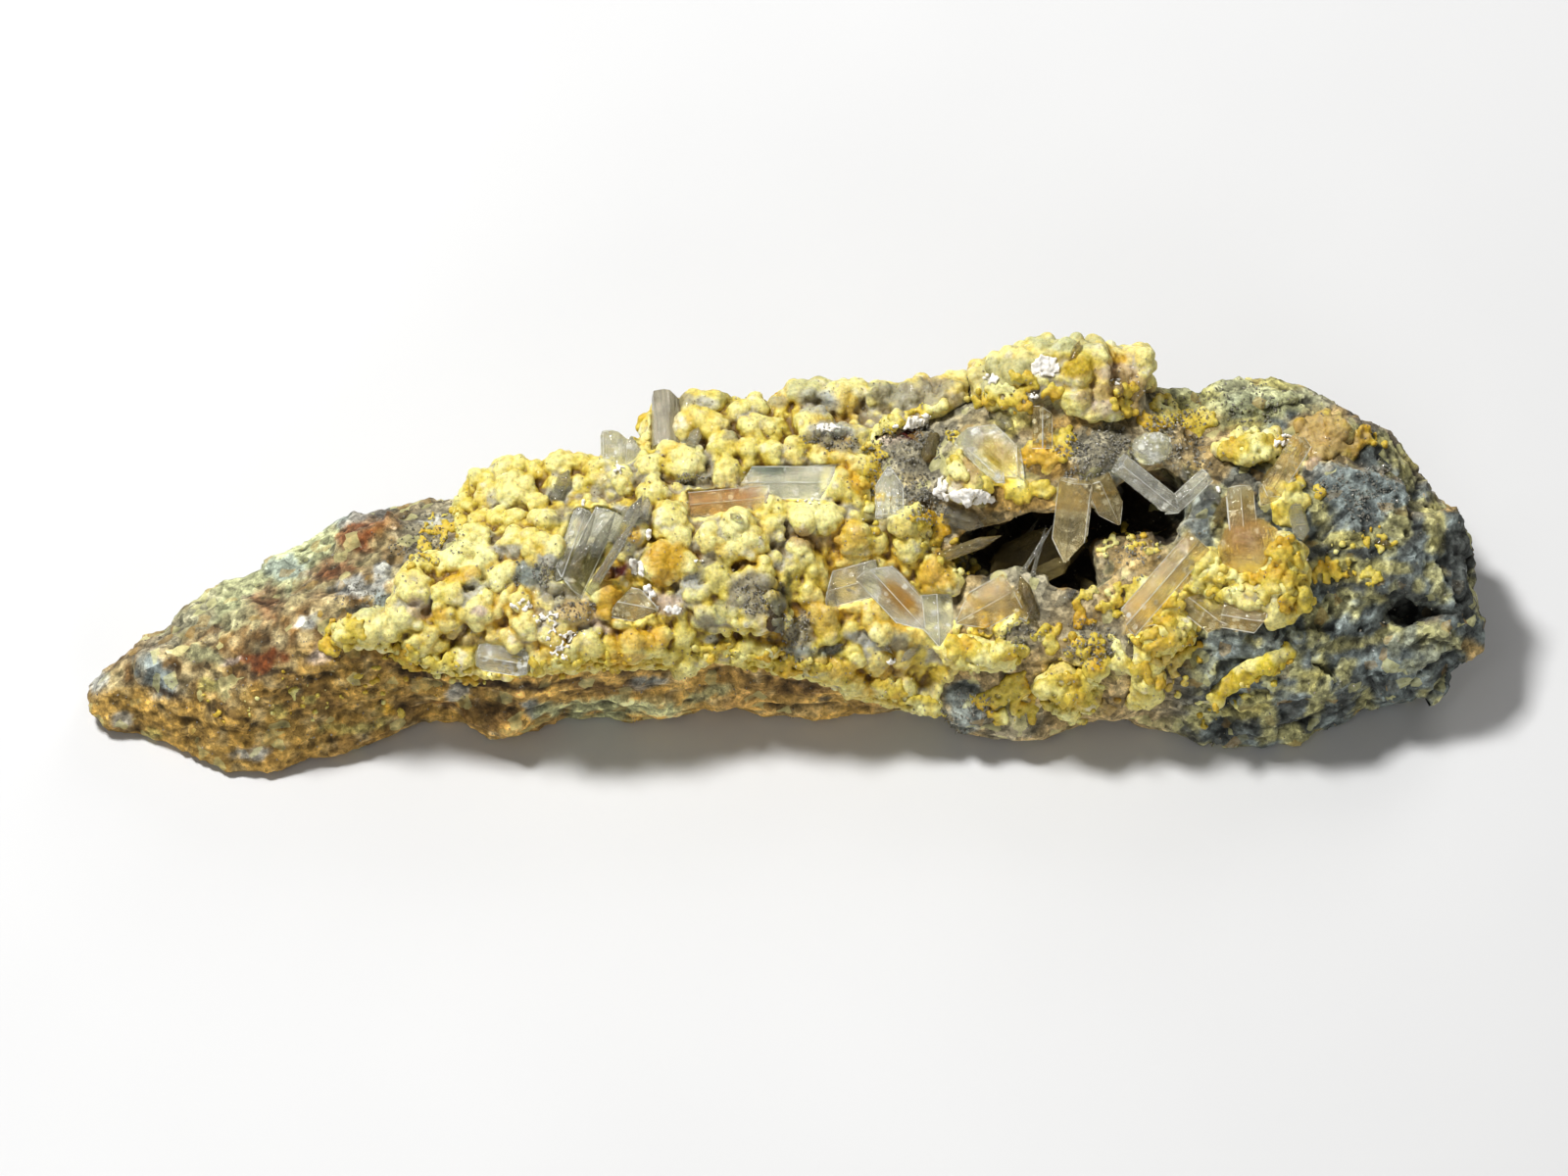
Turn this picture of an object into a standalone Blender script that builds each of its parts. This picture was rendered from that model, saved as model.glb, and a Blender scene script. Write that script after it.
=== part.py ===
"""Native sulfur on matrix rock: a hand specimen with a sulfur crust and gypsum crystals.

Places on the specimen's showy side are given in millimetres as (s, t, lift). That side faces a
display plane that leans back 60 degrees from upright. s runs to the right, t runs up the plane,
and lift is the height above the bare rock, square to the plane.
"""
import math

import bmesh
import bpy
from mathutils import Matrix, Vector, noise
from mathutils.bvhtree import BVHTree

MM = 0.001
DISPLAY_TILT = math.radians(60.0)
SIN_TILT = math.sin(DISPLAY_TILT)
COS_TILT = math.cos(DISPLAY_TILT)
ALONG = Vector((1.0, 0.0, 0.0))
UP_PLANE = Vector((0.0, SIN_TILT, COS_TILT))
OUT_OF_PLANE = Vector((0.0, -COS_TILT, SIN_TILT))
CENTRE_Y = 19.6          # middle of the footprint, taken off every y

GAP = 0.32               # clear space left between neighbouring solids
VOXEL = 0.75             # grain of the merged rock and crust forms
ROCK_TRIANGLES = 2150
BASE_DROP = 1.5          # how far the raw form runs below the cut before it is cut flat
RAY_START = 60.0         # depth out of the display plane from which the rock's skin is sought
SHELL_LIMIT = 1.5        # most that a skin's corner moves, as a multiple of its margin
FOLD_TRIES = 6           # rounds of easing a moved skin where it would fold into itself
HOLLOW_DEPTH = 1.2       # a hollow deeper than this counts as this deep when pieces are seated
COLLECTION = "native_sulfur"
CUTTERS = "cutters"

# Outlines of the rock, from the left tip to the right tip.
LOWER_RIM = (
    (-75.0, 7.0), (-74.4, 5.6), (-73.6, 4.6), (-71.0, 4.1), (-69.4, 3.9), (-67.6, 3.0), (-65.5, 2.9),
    (-62.5, 1.9), (-61.0, 1.5), (-60.0, 0.8), (-57.5, 0.3), (-54.0, 0.2), (-51.5, 1.4), (-48.2, 1.8),
    (-47.0, 2.6), (-43.0, 3.5), (-38.6, 5.3), (-33.8, 5.4), (-32.6, 4.0), (-31.0, 3.6), (-28.0, 3.6),
    (-26.3, 4.5), (-22.5, 5.4), (-19.0, 5.4), (-17.6, 4.9), (-15.8, 5.5), (-11.5, 5.5), (-9.5, 6.9),
    (-7.2, 7.5), (-6.0, 8.0), (-4.2, 7.3), (-2.7, 5.9), (-1.5, 6.2), (-0.2, 5.2), (6.0, 5.6), (7.2, 6.9),
    (12.5, 6.7), (15.0, 5.9), (17.1, 5.7), (18.2, 4.3), (20.0, 3.7), (27.5, 3.2), (30.5, 4.1),
    (32.5, 5.2), (34.0, 6.1), (36.5, 5.9), (38.5, 5.0), (42.5, 4.0), (44.7, 2.9), (47.0, 3.3),
    (50.5, 2.4), (54.5, 3.0), (60.0, 5.0), (64.0, 6.3), (67.5, 6.9), (69.7, 7.5), (71.5, 10.4),
    (73.0, 11.9), (75.2, 12.8),
)
UPPER_RIM = (
    (-75.0, 7.2), (-74.6, 9.3), (-73.6, 10.1), (-72.6, 10.3), (-70.5, 12.6), (-68.3, 14.9),
    (-66.7, 15.5), (-64.8, 17.3), (-62.5, 19.0), (-60.6, 19.8), (-57.4, 20.2), (-55.5, 21.7),
    (-53.4, 23.1), (-51.3, 24.0), (-48.4, 27.0), (-46.8, 27.4), (-44.6, 28.8), (-42.0, 28.4),
    (-39.2, 28.9), (-35.5, 28.4), (-33.0, 28.9), (-30.0, 30.6), (-25.2, 31.0), (-20.0, 32.2),
    (-15.0, 33.2), (-13.2, 37.8), (-7.0, 38.6), (-1.0, 37.9), (1.0, 39.8), (9.0, 40.2), (12.4, 40.3),
    (14.2, 41.3), (19.4, 41.2), (21.0, 42.4), (24.2, 43.9), (30.0, 44.4), (36.5, 43.2), (38.2, 41.5),
    (40.0, 40.8), (42.5, 41.2), (45.0, 40.9), (46.6, 41.7), (50.8, 42.4), (53.4, 41.8), (56.4, 40.9),
    (57.8, 40.0), (59.7, 37.5), (65.2, 36.8), (66.0, 34.8), (68.5, 31.5), (69.8, 28.9), (72.3, 28.9),
    (72.8, 26.6), (74.2, 21.6), (74.1, 15.2), (75.2, 13.2),
)
# Heights above the table of both rims, as (s, z).
LOWER_HEIGHT = (
    (-75.0, 3.0), (-70.0, 1.6), (-54.0, 0.9), (-36.0, 1.6), (-30.0, 0.9), (-18.0, 1.0), (-10.5, 1.6),
    (-6.0, 4.6), (-1.5, 1.8), (10.0, 2.0), (20.0, 1.2), (36.0, 2.8), (45.0, 1.0), (58.0, 1.3),
    (66.0, 2.2), (70.0, 4.0), (73.0, 6.5), (75.2, 8.4),
)
UPPER_HEIGHT = (
    (-75.0, 3.8), (-71.0, 4.5), (-65.0, 6.5), (-54.0, 9.0), (-46.0, 11.0), (-36.5, 13.0), (-28.0, 16.0),
    (-18.5, 17.0), (-6.5, 19.0), (14.0, 20.0), (24.0, 22.5), (30.0, 24.0), (37.0, 22.0), (42.0, 19.0),
    (52.5, 18.0), (63.0, 17.0), (69.5, 13.0), (73.0, 11.5), (75.2, 9.2),
)
# Lines along the face between the rims, as (s, t, z): the top of the steep front wall, the
# shoulder behind it, and the crest.
LEDGE = (
    (-75.0, 7.1, 3.4), (-71.0, 7.7, 4.2), (-65.0, 7.5, 7.0), (-54.0, 9.8, 11.6), (-46.0, 12.4, 13.6),
    (-40.0, 12.2, 12.4), (-35.0, 10.6, 11.2), (-28.0, 9.9, 11.6), (-18.5, 10.8, 11.2), (-6.5, 11.6, 11.0),
    (3.5, 10.0, 9.8), (9.0, 8.6, 6.6), (15.0, 7.8, 6.4), (23.0, 7.4, 7.6), (30.0, 8.6, 8.2),
    (42.0, 8.8, 9.2), (52.5, 9.0, 12.0), (60.0, 9.5, 9.4), (66.0, 10.4, 8.4), (70.5, 12.0, 9.0),
    (75.2, 12.9, 8.7),
)
SHOULDER = (
    (-75.0, 7.1, 3.6), (-71.0, 8.8, 5.0), (-65.0, 10.4, 8.6), (-54.0, 13.0, 12.8), (-46.0, 16.0, 15.4),
    (-36.5, 15.0, 14.6), (-28.0, 15.4, 16.0), (-18.5, 15.8, 16.2), (-6.5, 16.2, 15.8), (3.5, 15.8, 14.8),
    (15.0, 14.6, 12.6), (23.0, 14.0, 13.4), (30.0, 14.2, 14.0), (42.0, 15.4, 14.6), (52.5, 19.4, 18.8),
    (63.0, 17.3, 15.0), (69.5, 15.5, 13.4), (73.5, 15.5, 11.0), (75.2, 13.0, 8.9),
)
CREST = (
    (-75.0, 7.2, 3.7), (-71.0, 10.2, 5.5), (-65.0, 13.2, 9.5), (-54.0, 16.5, 13.5), (-46.0, 19.5, 16.4),
    (-36.5, 20.8, 17.8), (-28.0, 23.6, 19.8), (-18.5, 24.0, 20.6), (-6.5, 25.5, 20.4), (3.5, 28.0, 20.4),
    (14.0, 30.0, 20.4), (22.0, 33.5, 23.6), (30.0, 36.8, 26.0), (37.0, 34.5, 24.0), (43.0, 28.5, 20.6),
    (52.5, 30.0, 21.6), (60.0, 28.5, 21.4), (65.0, 25.0, 20.2), (69.5, 21.0, 17.2), (73.0, 20.0, 14.0),
    (75.2, 13.1, 9.0),
)
# Underside lifted clear of the table, as (s, z): the two tips overhang.
BASE_LIFT = ((-75.0, 2.4), (-73.2, 0.0), (69.5, 0.0), (72.5, 4.0), (75.2, 7.8))
BACK_BULGE = 1.6         # how far the back wall stands out past the upper rim
FRONT_UNDERCUT = 1.5     # least setback of the base behind the lower rim
UNDERCUT_SLOPE = 0.9     # setback for each millimetre that the lower rim is off the table

# Hollows cut out of the rock, as centre (s, t, lift) and half sizes (s, t, lift).
HOLLOWS = (
    ((22.8, 23.8, -4.5), (5.6, 3.2, 5.8)),
    ((30.5, 24.0, -6.0), (8.2, 5.8, 8.8)),
    ((39.2, 28.4, -4.5), (4.9, 4.8, 7.8)),
    ((31.5, 28.6, -11.0), (8.4, 5.6, 5.6)),
    ((67.8, 16.9, -0.5), (3.6, 1.7, 3.4)),
    ((73.3, 18.5, 0.5), (0.5, 4.4, 2.4)),
    ((-17.8, 21.3, -0.6), (1.6, 1.3, 2.0)),
    ((-6.2, 4.0, -1.0), (3.2, 3.4, 4.5)),
    ((0.6, 17.6, 0.2), (0.7, 3.2, 1.4)),
)
# Rounded knobs and boulders of rock, as centre (s, t, lift) and half sizes (s, t, lift).
BOULDERS = (
    ((61.8, 29.8, -0.6), (5.3, 3.3, 2.6)),
    ((-31.0, 6.2, -1.2), (3.5, 2.5, 2.6)),
    ((19.7, 6.6, -0.8), (2.6, 2.5, 2.4)),
    ((25.5, 5.4, -0.6), (2.8, 1.8, 2.2)),
    ((35.0, 6.9, 0.0), (1.3, 1.3, 1.4)),
    ((13.0, 33.2, -0.6), (3.6, 4.4, 2.6)),
    ((12.4, 27.8, -0.6), (2.6, 2.6, 2.4)),
    ((-22.2, 17.4, -0.2), (2.3, 1.7, 2.0)),
    ((-9.3, 18.8, 0.0), (1.9, 1.5, 1.7)),
    ((-6.2, 16.4, -0.2), (1.7, 1.7, 1.6)),
    ((1.6, 14.6, -0.2), (1.9, 2.6, 1.4)),
    ((31.8, 13.4, -0.4), (2.8, 2.2, 1.9)),
    ((36.2, 12.2, -0.4), (1.8, 2.4, 1.8)),
    ((43.5, 11.0, -0.5), (3.0, 1.8, 1.8)),
    ((58.0, 24.0, -0.8), (3.6, 2.4, 1.8)),
    ((67.4, 24.4, -0.8), (3.0, 3.6, 2.0)),
    ((59.6, 35.4, -0.4), (2.6, 2.0, 2.0)),
    ((51.0, 38.6, -0.8), (5.0, 2.4, 2.2)),
    ((-66.8, 10.6, -0.4), (2.6, 1.9, 1.5)),
    ((-57.0, 7.0, -0.8), (3.6, 2.2, 1.6)),
    ((33.2, 33.2, -0.4), (3.4, 2.8, 2.2)),
)
# Angular blocks and ledges of rock: centre (s, t, lift), full size (s, t, lift), turn in the plane.
BLOCKS = (
    ((-3.0, 18.4, 0.6), (4.2, 5.0, 3.2), 8.0),
    ((5.6, 35.4, 0.8), (5.8, 2.4, 2.6), -6.0),
    ((-26.0, 20.8, 0.4), (3.4, 3.4, 2.4), 35.0),
    ((36.8, 22.6, -4.6), (6.6, 4.2, 5.0), 6.0),
    ((28.5, 39.6, 0.4), (10.5, 8.4, 3.4), 4.0),
    ((36.0, 41.2, 0.0), (5.0, 4.4, 3.0), -6.0),
    ((63.0, 12.4, -0.6), (15.0, 3.2, 2.8), 6.0),
    ((64.0, 20.4, -0.6), (8.0, 2.6, 2.4), -4.0),
    ((71.4, 23.2, -0.4), (2.6, 10.5, 3.4), 7.0),
    ((-19.5, 8.0, -0.4), (13.0, 1.4, 1.8), -1.0),
    ((-44.0, 24.0, -0.4), (7.0, 5.0, 1.8), 25.0),
)

# Sulfur crusts. An outline bounds the thin sheet; lumps are (s, t, radius) and stand on it.
MAIN_OUTLINE = (
    (-47.6, 15.0), (-45.0, 16.8), (-42.0, 17.6), (-40.4, 21.0), (-36.5, 22.8), (-34.4, 23.2),
    (-35.2, 27.6), (-33.8, 32.0), (-27.0, 36.0), (-14.8, 37.0), (-13.6, 43.0), (0.0, 43.0), (1.0, 45.0),
    (19.6, 45.0), (19.8, 39.4), (17.6, 38.6), (15.0, 37.6), (12.0, 36.8), (9.6, 36.2), (9.0, 33.6),
    (9.4, 28.6), (10.4, 26.8), (14.4, 28.4), (15.8, 27.4), (15.6, 24.6),
    (19.4, 20.8), (18.8, 18.8), (16.6, 17.8), (17.0, 14.6), (20.4, 14.4), (25.0, 13.0), (24.8, 11.0),
    (18.6, 10.8), (16.8, 9.0), (17.0, 6.2), (12.0, 7.0), (7.4, 8.4), (1.0, 10.6), (-4.0, 11.6),
    (-8.0, 11.8), (-10.4, 10.2), (-12.5, 11.4), (-18.0, 11.0), (-26.0, 10.6), (-29.0, 10.0),
    (-35.5, 10.4), (-40.0, 12.4), (-44.0, 13.6), (-46.6, 13.4),
)
MAIN_LUMPS = (
    (-46.3, 14.6, 1.5), (-44.3, 15.1, 1.8), (-42.3, 15.3, 1.7), (-40.2, 16.6, 1.9), (-39.2, 19.3, 2.1),
    (-38.0, 14.7, 1.8), (-39.2, 13.3, 1.4), (-37.3, 12.2, 1.3), (-38.6, 21.3, 1.5), (-36.5, 21.6, 1.7),
    (-34.9, 22.1, 1.5), (-35.5, 18.6, 2.0), (-35.6, 16.3, 1.8), (-36.8, 13.6, 1.3), (-35.3, 11.8, 1.2),
    (-33.8, 12.1, 1.4), (-32.1, 17.2, 2.1), (-30.4, 14.7, 1.2), (-33.2, 20.6, 1.5), (-32.6, 24.0, 2.2),
    (-31.2, 22.3, 1.7), (-29.8, 20.6, 1.6), (-28.2, 24.1, 1.6), (-26.4, 23.7, 1.6), (-24.3, 23.2, 1.4),
    (-32.0, 26.4, 1.5), (-30.2, 26.2, 1.8), (-28.3, 26.2, 1.5), (-33.4, 28.0, 1.6), (-31.0, 28.6, 2.1),
    (-28.5, 29.3, 2.5), (-26.2, 28.2, 1.5), (-31.8, 30.4, 1.9), (-29.8, 31.7, 1.6), (-28.3, 32.0, 1.3),
    (-26.3, 31.0, 1.6), (-25.2, 26.3, 1.7), (-24.0, 30.0, 1.6), (-23.6, 32.3, 1.9), (-21.8, 32.3, 1.7),
    (-21.6, 30.0, 1.6), (-19.2, 31.4, 2.2), (-17.2, 30.7, 1.8), (-15.8, 33.1, 1.7), (-14.0, 31.8, 1.9),
    (-13.8, 29.3, 1.7), (-12.0, 33.6, 1.5), (-15.6, 25.1, 1.5), (-11.9, 26.4, 1.9), (-11.2, 24.4, 1.7),
    (-13.1, 21.8, 2.2), (-10.3, 21.9, 1.7), (-19.2, 18.6, 1.5), (-17.8, 16.9, 1.4), (-25.3, 17.9, 1.5),
    (-27.6, 17.8, 1.6), (-29.2, 17.8, 1.5), (-27.0, 15.4, 1.7), (-24.5, 14.6, 1.6), (-28.4, 13.9, 1.3),
    (-25.6, 12.2, 1.7), (-22.6, 12.6, 1.7), (-20.6, 14.0, 1.7), (-18.4, 13.2, 1.8), (-16.0, 13.5, 1.9),
    (-13.8, 13.7, 1.7), (-12.2, 12.7, 1.5), (-10.6, 14.4, 1.6), (-10.3, 11.8, 1.7), (-8.4, 12.9, 1.5),
    (-5.8, 13.5, 1.4), (-3.8, 13.4, 1.5), (-1.8, 13.0, 1.4), (-10.2, 32.6, 2.3), (-9.0, 37.2, 1.9),
    (-10.6, 36.2, 1.6), (-9.4, 39.2, 1.6), (-7.3, 38.9, 1.7), (-7.1, 36.3, 1.7), (-6.4, 34.2, 1.8),
    (-6.1, 31.6, 1.7), (-4.5, 37.9, 1.5), (-3.0, 38.4, 1.5), (-3.2, 36.2, 1.7), (-1.5, 36.3, 1.5),
    (-3.7, 34.0, 1.5), (-1.2, 33.9, 1.5), (1.3, 33.8, 1.6), (3.1, 37.0, 1.9), (1.6, 40.2, 1.6),
    (3.8, 40.4, 1.5), (6.3, 39.6, 2.1), (7.9, 40.3, 1.5), (4.3, 33.6, 1.4), (6.5, 33.1, 1.8),
    (8.0, 32.2, 1.5), (5.7, 30.2, 1.8), (7.6, 29.8, 1.4), (2.5, 26.9, 1.8), (4.4, 26.6, 1.9),
    (7.2, 26.9, 1.5), (7.6, 24.8, 2.0), (9.6, 24.4, 1.5), (6.8, 21.7, 1.3), (-1.6, 28.0, 1.6),
    (-1.6, 25.6, 1.7), (-0.3, 27.2, 1.3), (-4.9, 25.9, 1.8), (-3.6, 24.1, 2.0), (-5.9, 23.6, 1.5),
    (-7.6, 24.5, 1.6), (-7.0, 20.4, 1.9), (-1.7, 22.2, 1.5), (0.2, 21.6, 1.6), (1.6, 23.2, 1.6),
    (3.0, 21.3, 1.6), (2.6, 18.9, 1.5), (4.2, 16.9, 1.7), (4.9, 14.8, 1.4), (-8.0, 16.9, 1.3),
    (3.4, 11.7, 1.5), (5.4, 11.1, 1.7), (7.5, 9.6, 1.7), (7.6, 12.3, 1.7), (9.8, 12.0, 1.6),
    (10.6, 9.5, 1.6), (12.8, 9.0, 1.7), (15.0, 7.6, 1.5), (12.6, 12.0, 1.3), (18.3, 12.9, 1.6),
    (20.9, 12.6, 1.3), (23.3, 12.4, 1.4), (12.8, 26.3, 1.5), (13.4, 24.0, 1.7), (16.0, 21.1, 1.7),
    (17.6, 20.2, 1.3), (10.2, 14.6, 1.2), (-14.2, 18.9, 1.3), (-12.3, 18.0, 1.5), (-11.0, 17.2, 1.2),
    (10.4, 40.0, 1.5), (12.6, 38.8, 1.4), (14.6, 40.4, 1.5), (16.4, 39.0, 1.4), (18.2, 40.4, 1.5),
)
RIGHT_OUTLINE = (
    (37.4, 16.8), (38.4, 19.6), (41.4, 20.0), (42.6, 22.2), (45.0, 23.9), (47.6, 23.0), (48.8, 21.0),
    (50.6, 21.6), (51.6, 24.2), (53.2, 25.2), (55.4, 24.0), (55.6, 20.6), (56.2, 18.2), (54.4, 16.4),
    (52.2, 15.2), (50.8, 17.6), (48.0, 17.2), (44.2, 16.4), (43.6, 14.0), (40.4, 12.0), (40.2, 7.2),
    (37.2, 7.0), (37.4, 12.0),
)
RIGHT_LUMPS = (
    (39.3, 18.2, 1.5), (41.4, 17.8, 1.6), (40.4, 14.4, 2.0), (42.4, 15.6, 1.3), (38.8, 12.2, 1.3),
    (38.6, 9.8, 1.3), (38.9, 8.0, 1.2), (44.8, 22.2, 1.7), (45.6, 20.6, 1.7), (43.4, 20.6, 1.4),
    (47.2, 20.6, 1.6), (48.8, 19.0, 1.4), (52.8, 23.3, 1.9), (54.0, 21.8, 1.6), (51.9, 21.4, 1.4),
    (52.5, 19.3, 1.7), (52.0, 17.0, 1.4), (54.6, 18.4, 1.3),
)
CAP_OUTLINE = (
    (20.2, 40.4), (21.4, 46.0), (38.8, 46.5), (39.2, 42.8), (37.2, 38.2), (33.0, 37.4), (30.4, 38.2),
    (29.0, 40.4), (24.6, 38.8), (20.6, 38.4),
)
CAP_LUMPS = (
    (21.6, 41.8, 1.5), (24.4, 43.6, 1.5), (27.4, 44.4, 1.5), (29.8, 44.3, 1.5), (31.2, 42.2, 1.7),
    (31.3, 39.6, 1.7), (34.4, 43.4, 1.4), (35.6, 41.6, 1.8), (37.2, 42.9, 1.3), (25.6, 39.6, 1.3),
    (34.2, 38.8, 1.3), (22.8, 39.8, 1.4),
)
# Smaller patches that are lumps only.
LOWER_PATCH_LUMPS = (
    (28.2, 9.2, 1.3), (29.8, 10.0, 1.5), (31.0, 8.6, 1.6), (32.6, 8.0, 1.4), (30.2, 6.9, 1.3),
    (33.2, 11.2, 1.3), (32.2, 9.9, 1.2),
)
UPPER_PATCH_LUMPS = (
    (47.4, 34.2, 1.3), (49.2, 33.7, 1.4), (50.9, 34.2, 1.3), (52.2, 35.0, 1.3),
)
FRINGE_KNOB_LUMPS = ((19.6, 30.8, 1.8), (18.4, 30.2, 1.2), (20.9, 30.4, 1.2), (19.4, 33.0, 1.1))
VEIN_LUMPS = (
    (45.2, 7.9, 0.9), (46.4, 8.5, 1.1), (47.7, 9.3, 1.2), (49.0, 10.2, 1.2), (50.3, 11.0, 1.2),
    (51.5, 11.7, 1.2), (52.6, 12.4, 1.1), (53.4, 13.3, 1.0),
)

# Colours of the pieces, as linear red, green, blue.
ROCK_COLOUR = (0.20, 0.15, 0.09)
SULFUR_COLOUR = (0.75, 0.56, 0.10)
CLEAR_COLOUR = (0.72, 0.72, 0.62)
TAN_COLOUR = (0.42, 0.30, 0.16)

# Crystals. A prism is (foot, tip, width, depth, roll, foot end, tip end) with both points as
# (s, t, lift) and the roll in degrees; a knob is (centre, half sizes) with both as (s, t, lift).
CRYSTALS = {
    "gypsum_chisel_crystal": (CLEAR_COLOUR, (
        ((-17.7, 31.4, 0.6), (-17.8, 36.2, 1.0), 3.6, 2.8, 12.0, "flat", "slant"),
        ((-16.4, 32.0, 0.8), (-16.0, 35.6, 1.0), 2.2, 2.0, -10.0, "flat", "chisel"),
    ), ()),
    "gypsum_rim_block": (TAN_COLOUR, (
        ((-12.3, 34.4, 0.2), (-12.3, 40.3, 0.2), 3.8, 3.2, 8.0, "flat", "slant"),
    ), ()),
    "gypsum_left_prisms": (CLEAR_COLOUR, (
        ((-18.6, 27.4, 2.0), (-22.6, 19.0, 2.4), 3.2, 2.6, 8.0, "flat", "slant"),
        ((-21.2, 27.6, 1.8), (-23.7, 20.4, 2.1), 2.0, 1.9, -15.0, "flat", "chisel"),
    ), (((-18.7, 26.0, 2.2), (2.2, 1.7, 1.6)),)),
    "gypsum_oval_crystal": (CLEAR_COLOUR, (
        ((-32.6, 12.5, 1.8), (-26.7, 11.5, 1.8), 3.3, 2.8, 5.0, "blunt", "blunt"),
    ), ()),
    "gypsum_slab_and_prism": (CLEAR_COLOUR, (
        ((-4.7, 30.8, 2.6), (5.6, 30.8, 2.4), 3.9, 2.2, 0.0, "slant", "slant"),
        ((-9.9, 28.4, 1.5), (-1.4, 29.2, 1.8), 3.0, 2.6, 0.0, "flat", "slant"),
    ), ()),
    "gypsum_brown_crystal": (TAN_COLOUR, (
        ((-17.8, 18.2, 1.4), (-13.2, 17.3, 1.9), 4.0, 3.0, 0.0, "slant", "chisel"),
    ), ()),
    "gypsum_main_cluster": (CLEAR_COLOUR, (
        ((9.2, 21.9, 3.4), (15.1, 15.5, 2.9), 4.3, 3.6, 6.0, "slant", "chisel"),
        ((16.2, 18.8, 1.4), (16.5, 13.3, 2.0), 4.0, 3.0, -8.0, "flat", "chisel"),
        ((4.2, 19.2, 1.6), (10.2, 20.8, 1.8), 4.2, 3.0, 4.0, "slant", "flat"),
    ), ()),
    "gypsum_tan_plate": (TAN_COLOUR, (
        ((24.4, 19.2, 0.6), (18.3, 15.8, 2.0), 4.9, 3.2, 0.0, "flat", "chisel"),
        ((26.6, 21.2, -0.6), (24.6, 16.2, 0.6), 3.2, 2.6, 10.0, "flat", "slant"),
    ), ()),
    "gypsum_block_crystal": (CLEAR_COLOUR, (
        ((20.1, 36.3, 1.4), (25.5, 31.0, 2.2), 5.2, 4.0, 4.0, "slant", "chisel"),
        ((19.7, 34.3, 2.8), (23.6, 30.7, 3.0), 1.5, 1.4, 0.0, "slant", "chisel"),
    ), ()),
    "gypsum_hanging_drops": (TAN_COLOUR, (
        ((27.2, 31.6, 1.2), (26.5, 26.2, 2.0), 4.8, 3.8, 0.0, "flat", "chisel"),
        ((31.2, 31.0, 0.8), (30.3, 22.7, 0.6), 4.0, 3.4, 10.0, "flat", "chisel"),
        ((33.2, 31.4, 0.0), (35.4, 26.8, -0.4), 3.4, 2.8, -8.0, "flat", "chisel"),
        ((28.4, 27.8, 0.0), (24.2, 22.0, 0.4), 0.8, 0.7, 0.0, "flat", "slant"),
        ((29.4, 27.4, -0.8), (25.8, 20.6, -0.9), 0.7, 0.6, 0.0, "flat", "slant"),
    ), ()),
    "gypsum_tan_upright": (TAN_COLOUR, (
        ((27.6, 34.4, 0.6), (27.6, 38.9, 1.6), 2.4, 2.2, 0.0, "flat", "slant"),
    ), ()),
    "gypsum_crossing_prisms": (CLEAR_COLOUR, (
        ((35.7, 32.8, 1.4), (42.0, 27.9, 1.4), 2.6, 2.2, 0.0, "flat", "chisel"),
        ((45.2, 31.6, 1.2), (40.7, 27.4, 1.2), 2.0, 1.8, 0.0, "flat", "chisel"),
    ), ()),
    "gypsum_pale_knob": (CLEAR_COLOUR, (), (((39.2, 34.4, 1.0), (2.4, 1.8, 1.7)),)),
    "gypsum_long_prism": (CLEAR_COLOUR, (
        ((44.2, 24.6, 1.5), (36.3, 15.5, 2.0), 3.4, 2.8, 0.0, "flat", "slant"),
        ((43.8, 22.2, 1.0), (37.8, 15.4, 1.2), 1.9, 1.9, 0.0, "flat", "chisel"),
        ((36.3, 15.0, 1.6), (40.9, 16.0, 2.0), 0.9, 0.8, 0.0, "slant", "slant"),
    ), ()),
    "gypsum_finger_cluster": (TAN_COLOUR, (
        ((48.9, 25.0, 1.8), (48.5, 30.5, 2.5), 3.3, 2.9, 0.0, "flat", "blunt"),
    ), (((49.6, 24.0, 1.0), (3.5, 3.0, 2.8)),)),
    "gypsum_brown_right": (TAN_COLOUR, (
        ((55.3, 35.0, 1.0), (51.1, 28.7, 1.8), 2.7, 2.3, 0.0, "flat", "chisel"),
    ), ()),
    "gypsum_right_plate": (TAN_COLOUR, (
        ((43.0, 18.7, 1.2), (47.4, 15.2, 1.4), 3.8, 2.2, 0.0, "slant", "slant"),
        ((46.8, 16.7, 1.0), (51.4, 15.9, 1.3), 3.0, 2.6, 0.0, "flat", "slant"),
    ), ()),
    "gypsum_grey_point": (CLEAR_COLOUR, (
        ((11.4, 27.2, 0.9), (11.3, 32.2, 1.5), 3.4, 2.8, 0.0, "flat", "chisel"),
    ), ()),
}
# The crystals inside the hollow, one crust: prisms and knobs, with lifts from the plain rock.
VUG_CRYSTALS = (
    (
        ((17.6, 22.7, -1.8), (25.4, 24.6, -5.6), 2.1, 1.8, 0.0, "slant", "slant"),
        ((26.4, 20.4, -6.6), (30.6, 22.4, -3.6), 2.2, 1.4, 0.0, "flat", "chisel"),
        ((25.0, 21.4, -7.0), (22.4, 21.8, -2.6), 1.6, 0.9, 0.0, "flat", "slant"),
    ),
    (((27.4, 23.2, -8.6), (5.4, 2.6, 2.8)),),
)
CHISEL_SLOPE = 52.0      # degrees from square that each face of a chisel end leans
SLANT_SLOPE = 28.0       # degrees from square that a slanted end leans
BLUNT_BEVEL = 0.30       # part of the width that a blunt end is rounded by


# ------------------------------------------------------------------ places on the specimen

def table_value(table, s, column=1):
    """A column of a table of rows that start with s, read at s along straight lines."""
    if s <= table[0][0]:
        return table[0][column]
    for left, right in zip(table, table[1:]):
        if s <= right[0]:
            part = (s - left[0]) / (right[0] - left[0])
            return left[column] + part * (right[column] - left[column])
    return table[-1][column]


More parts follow.
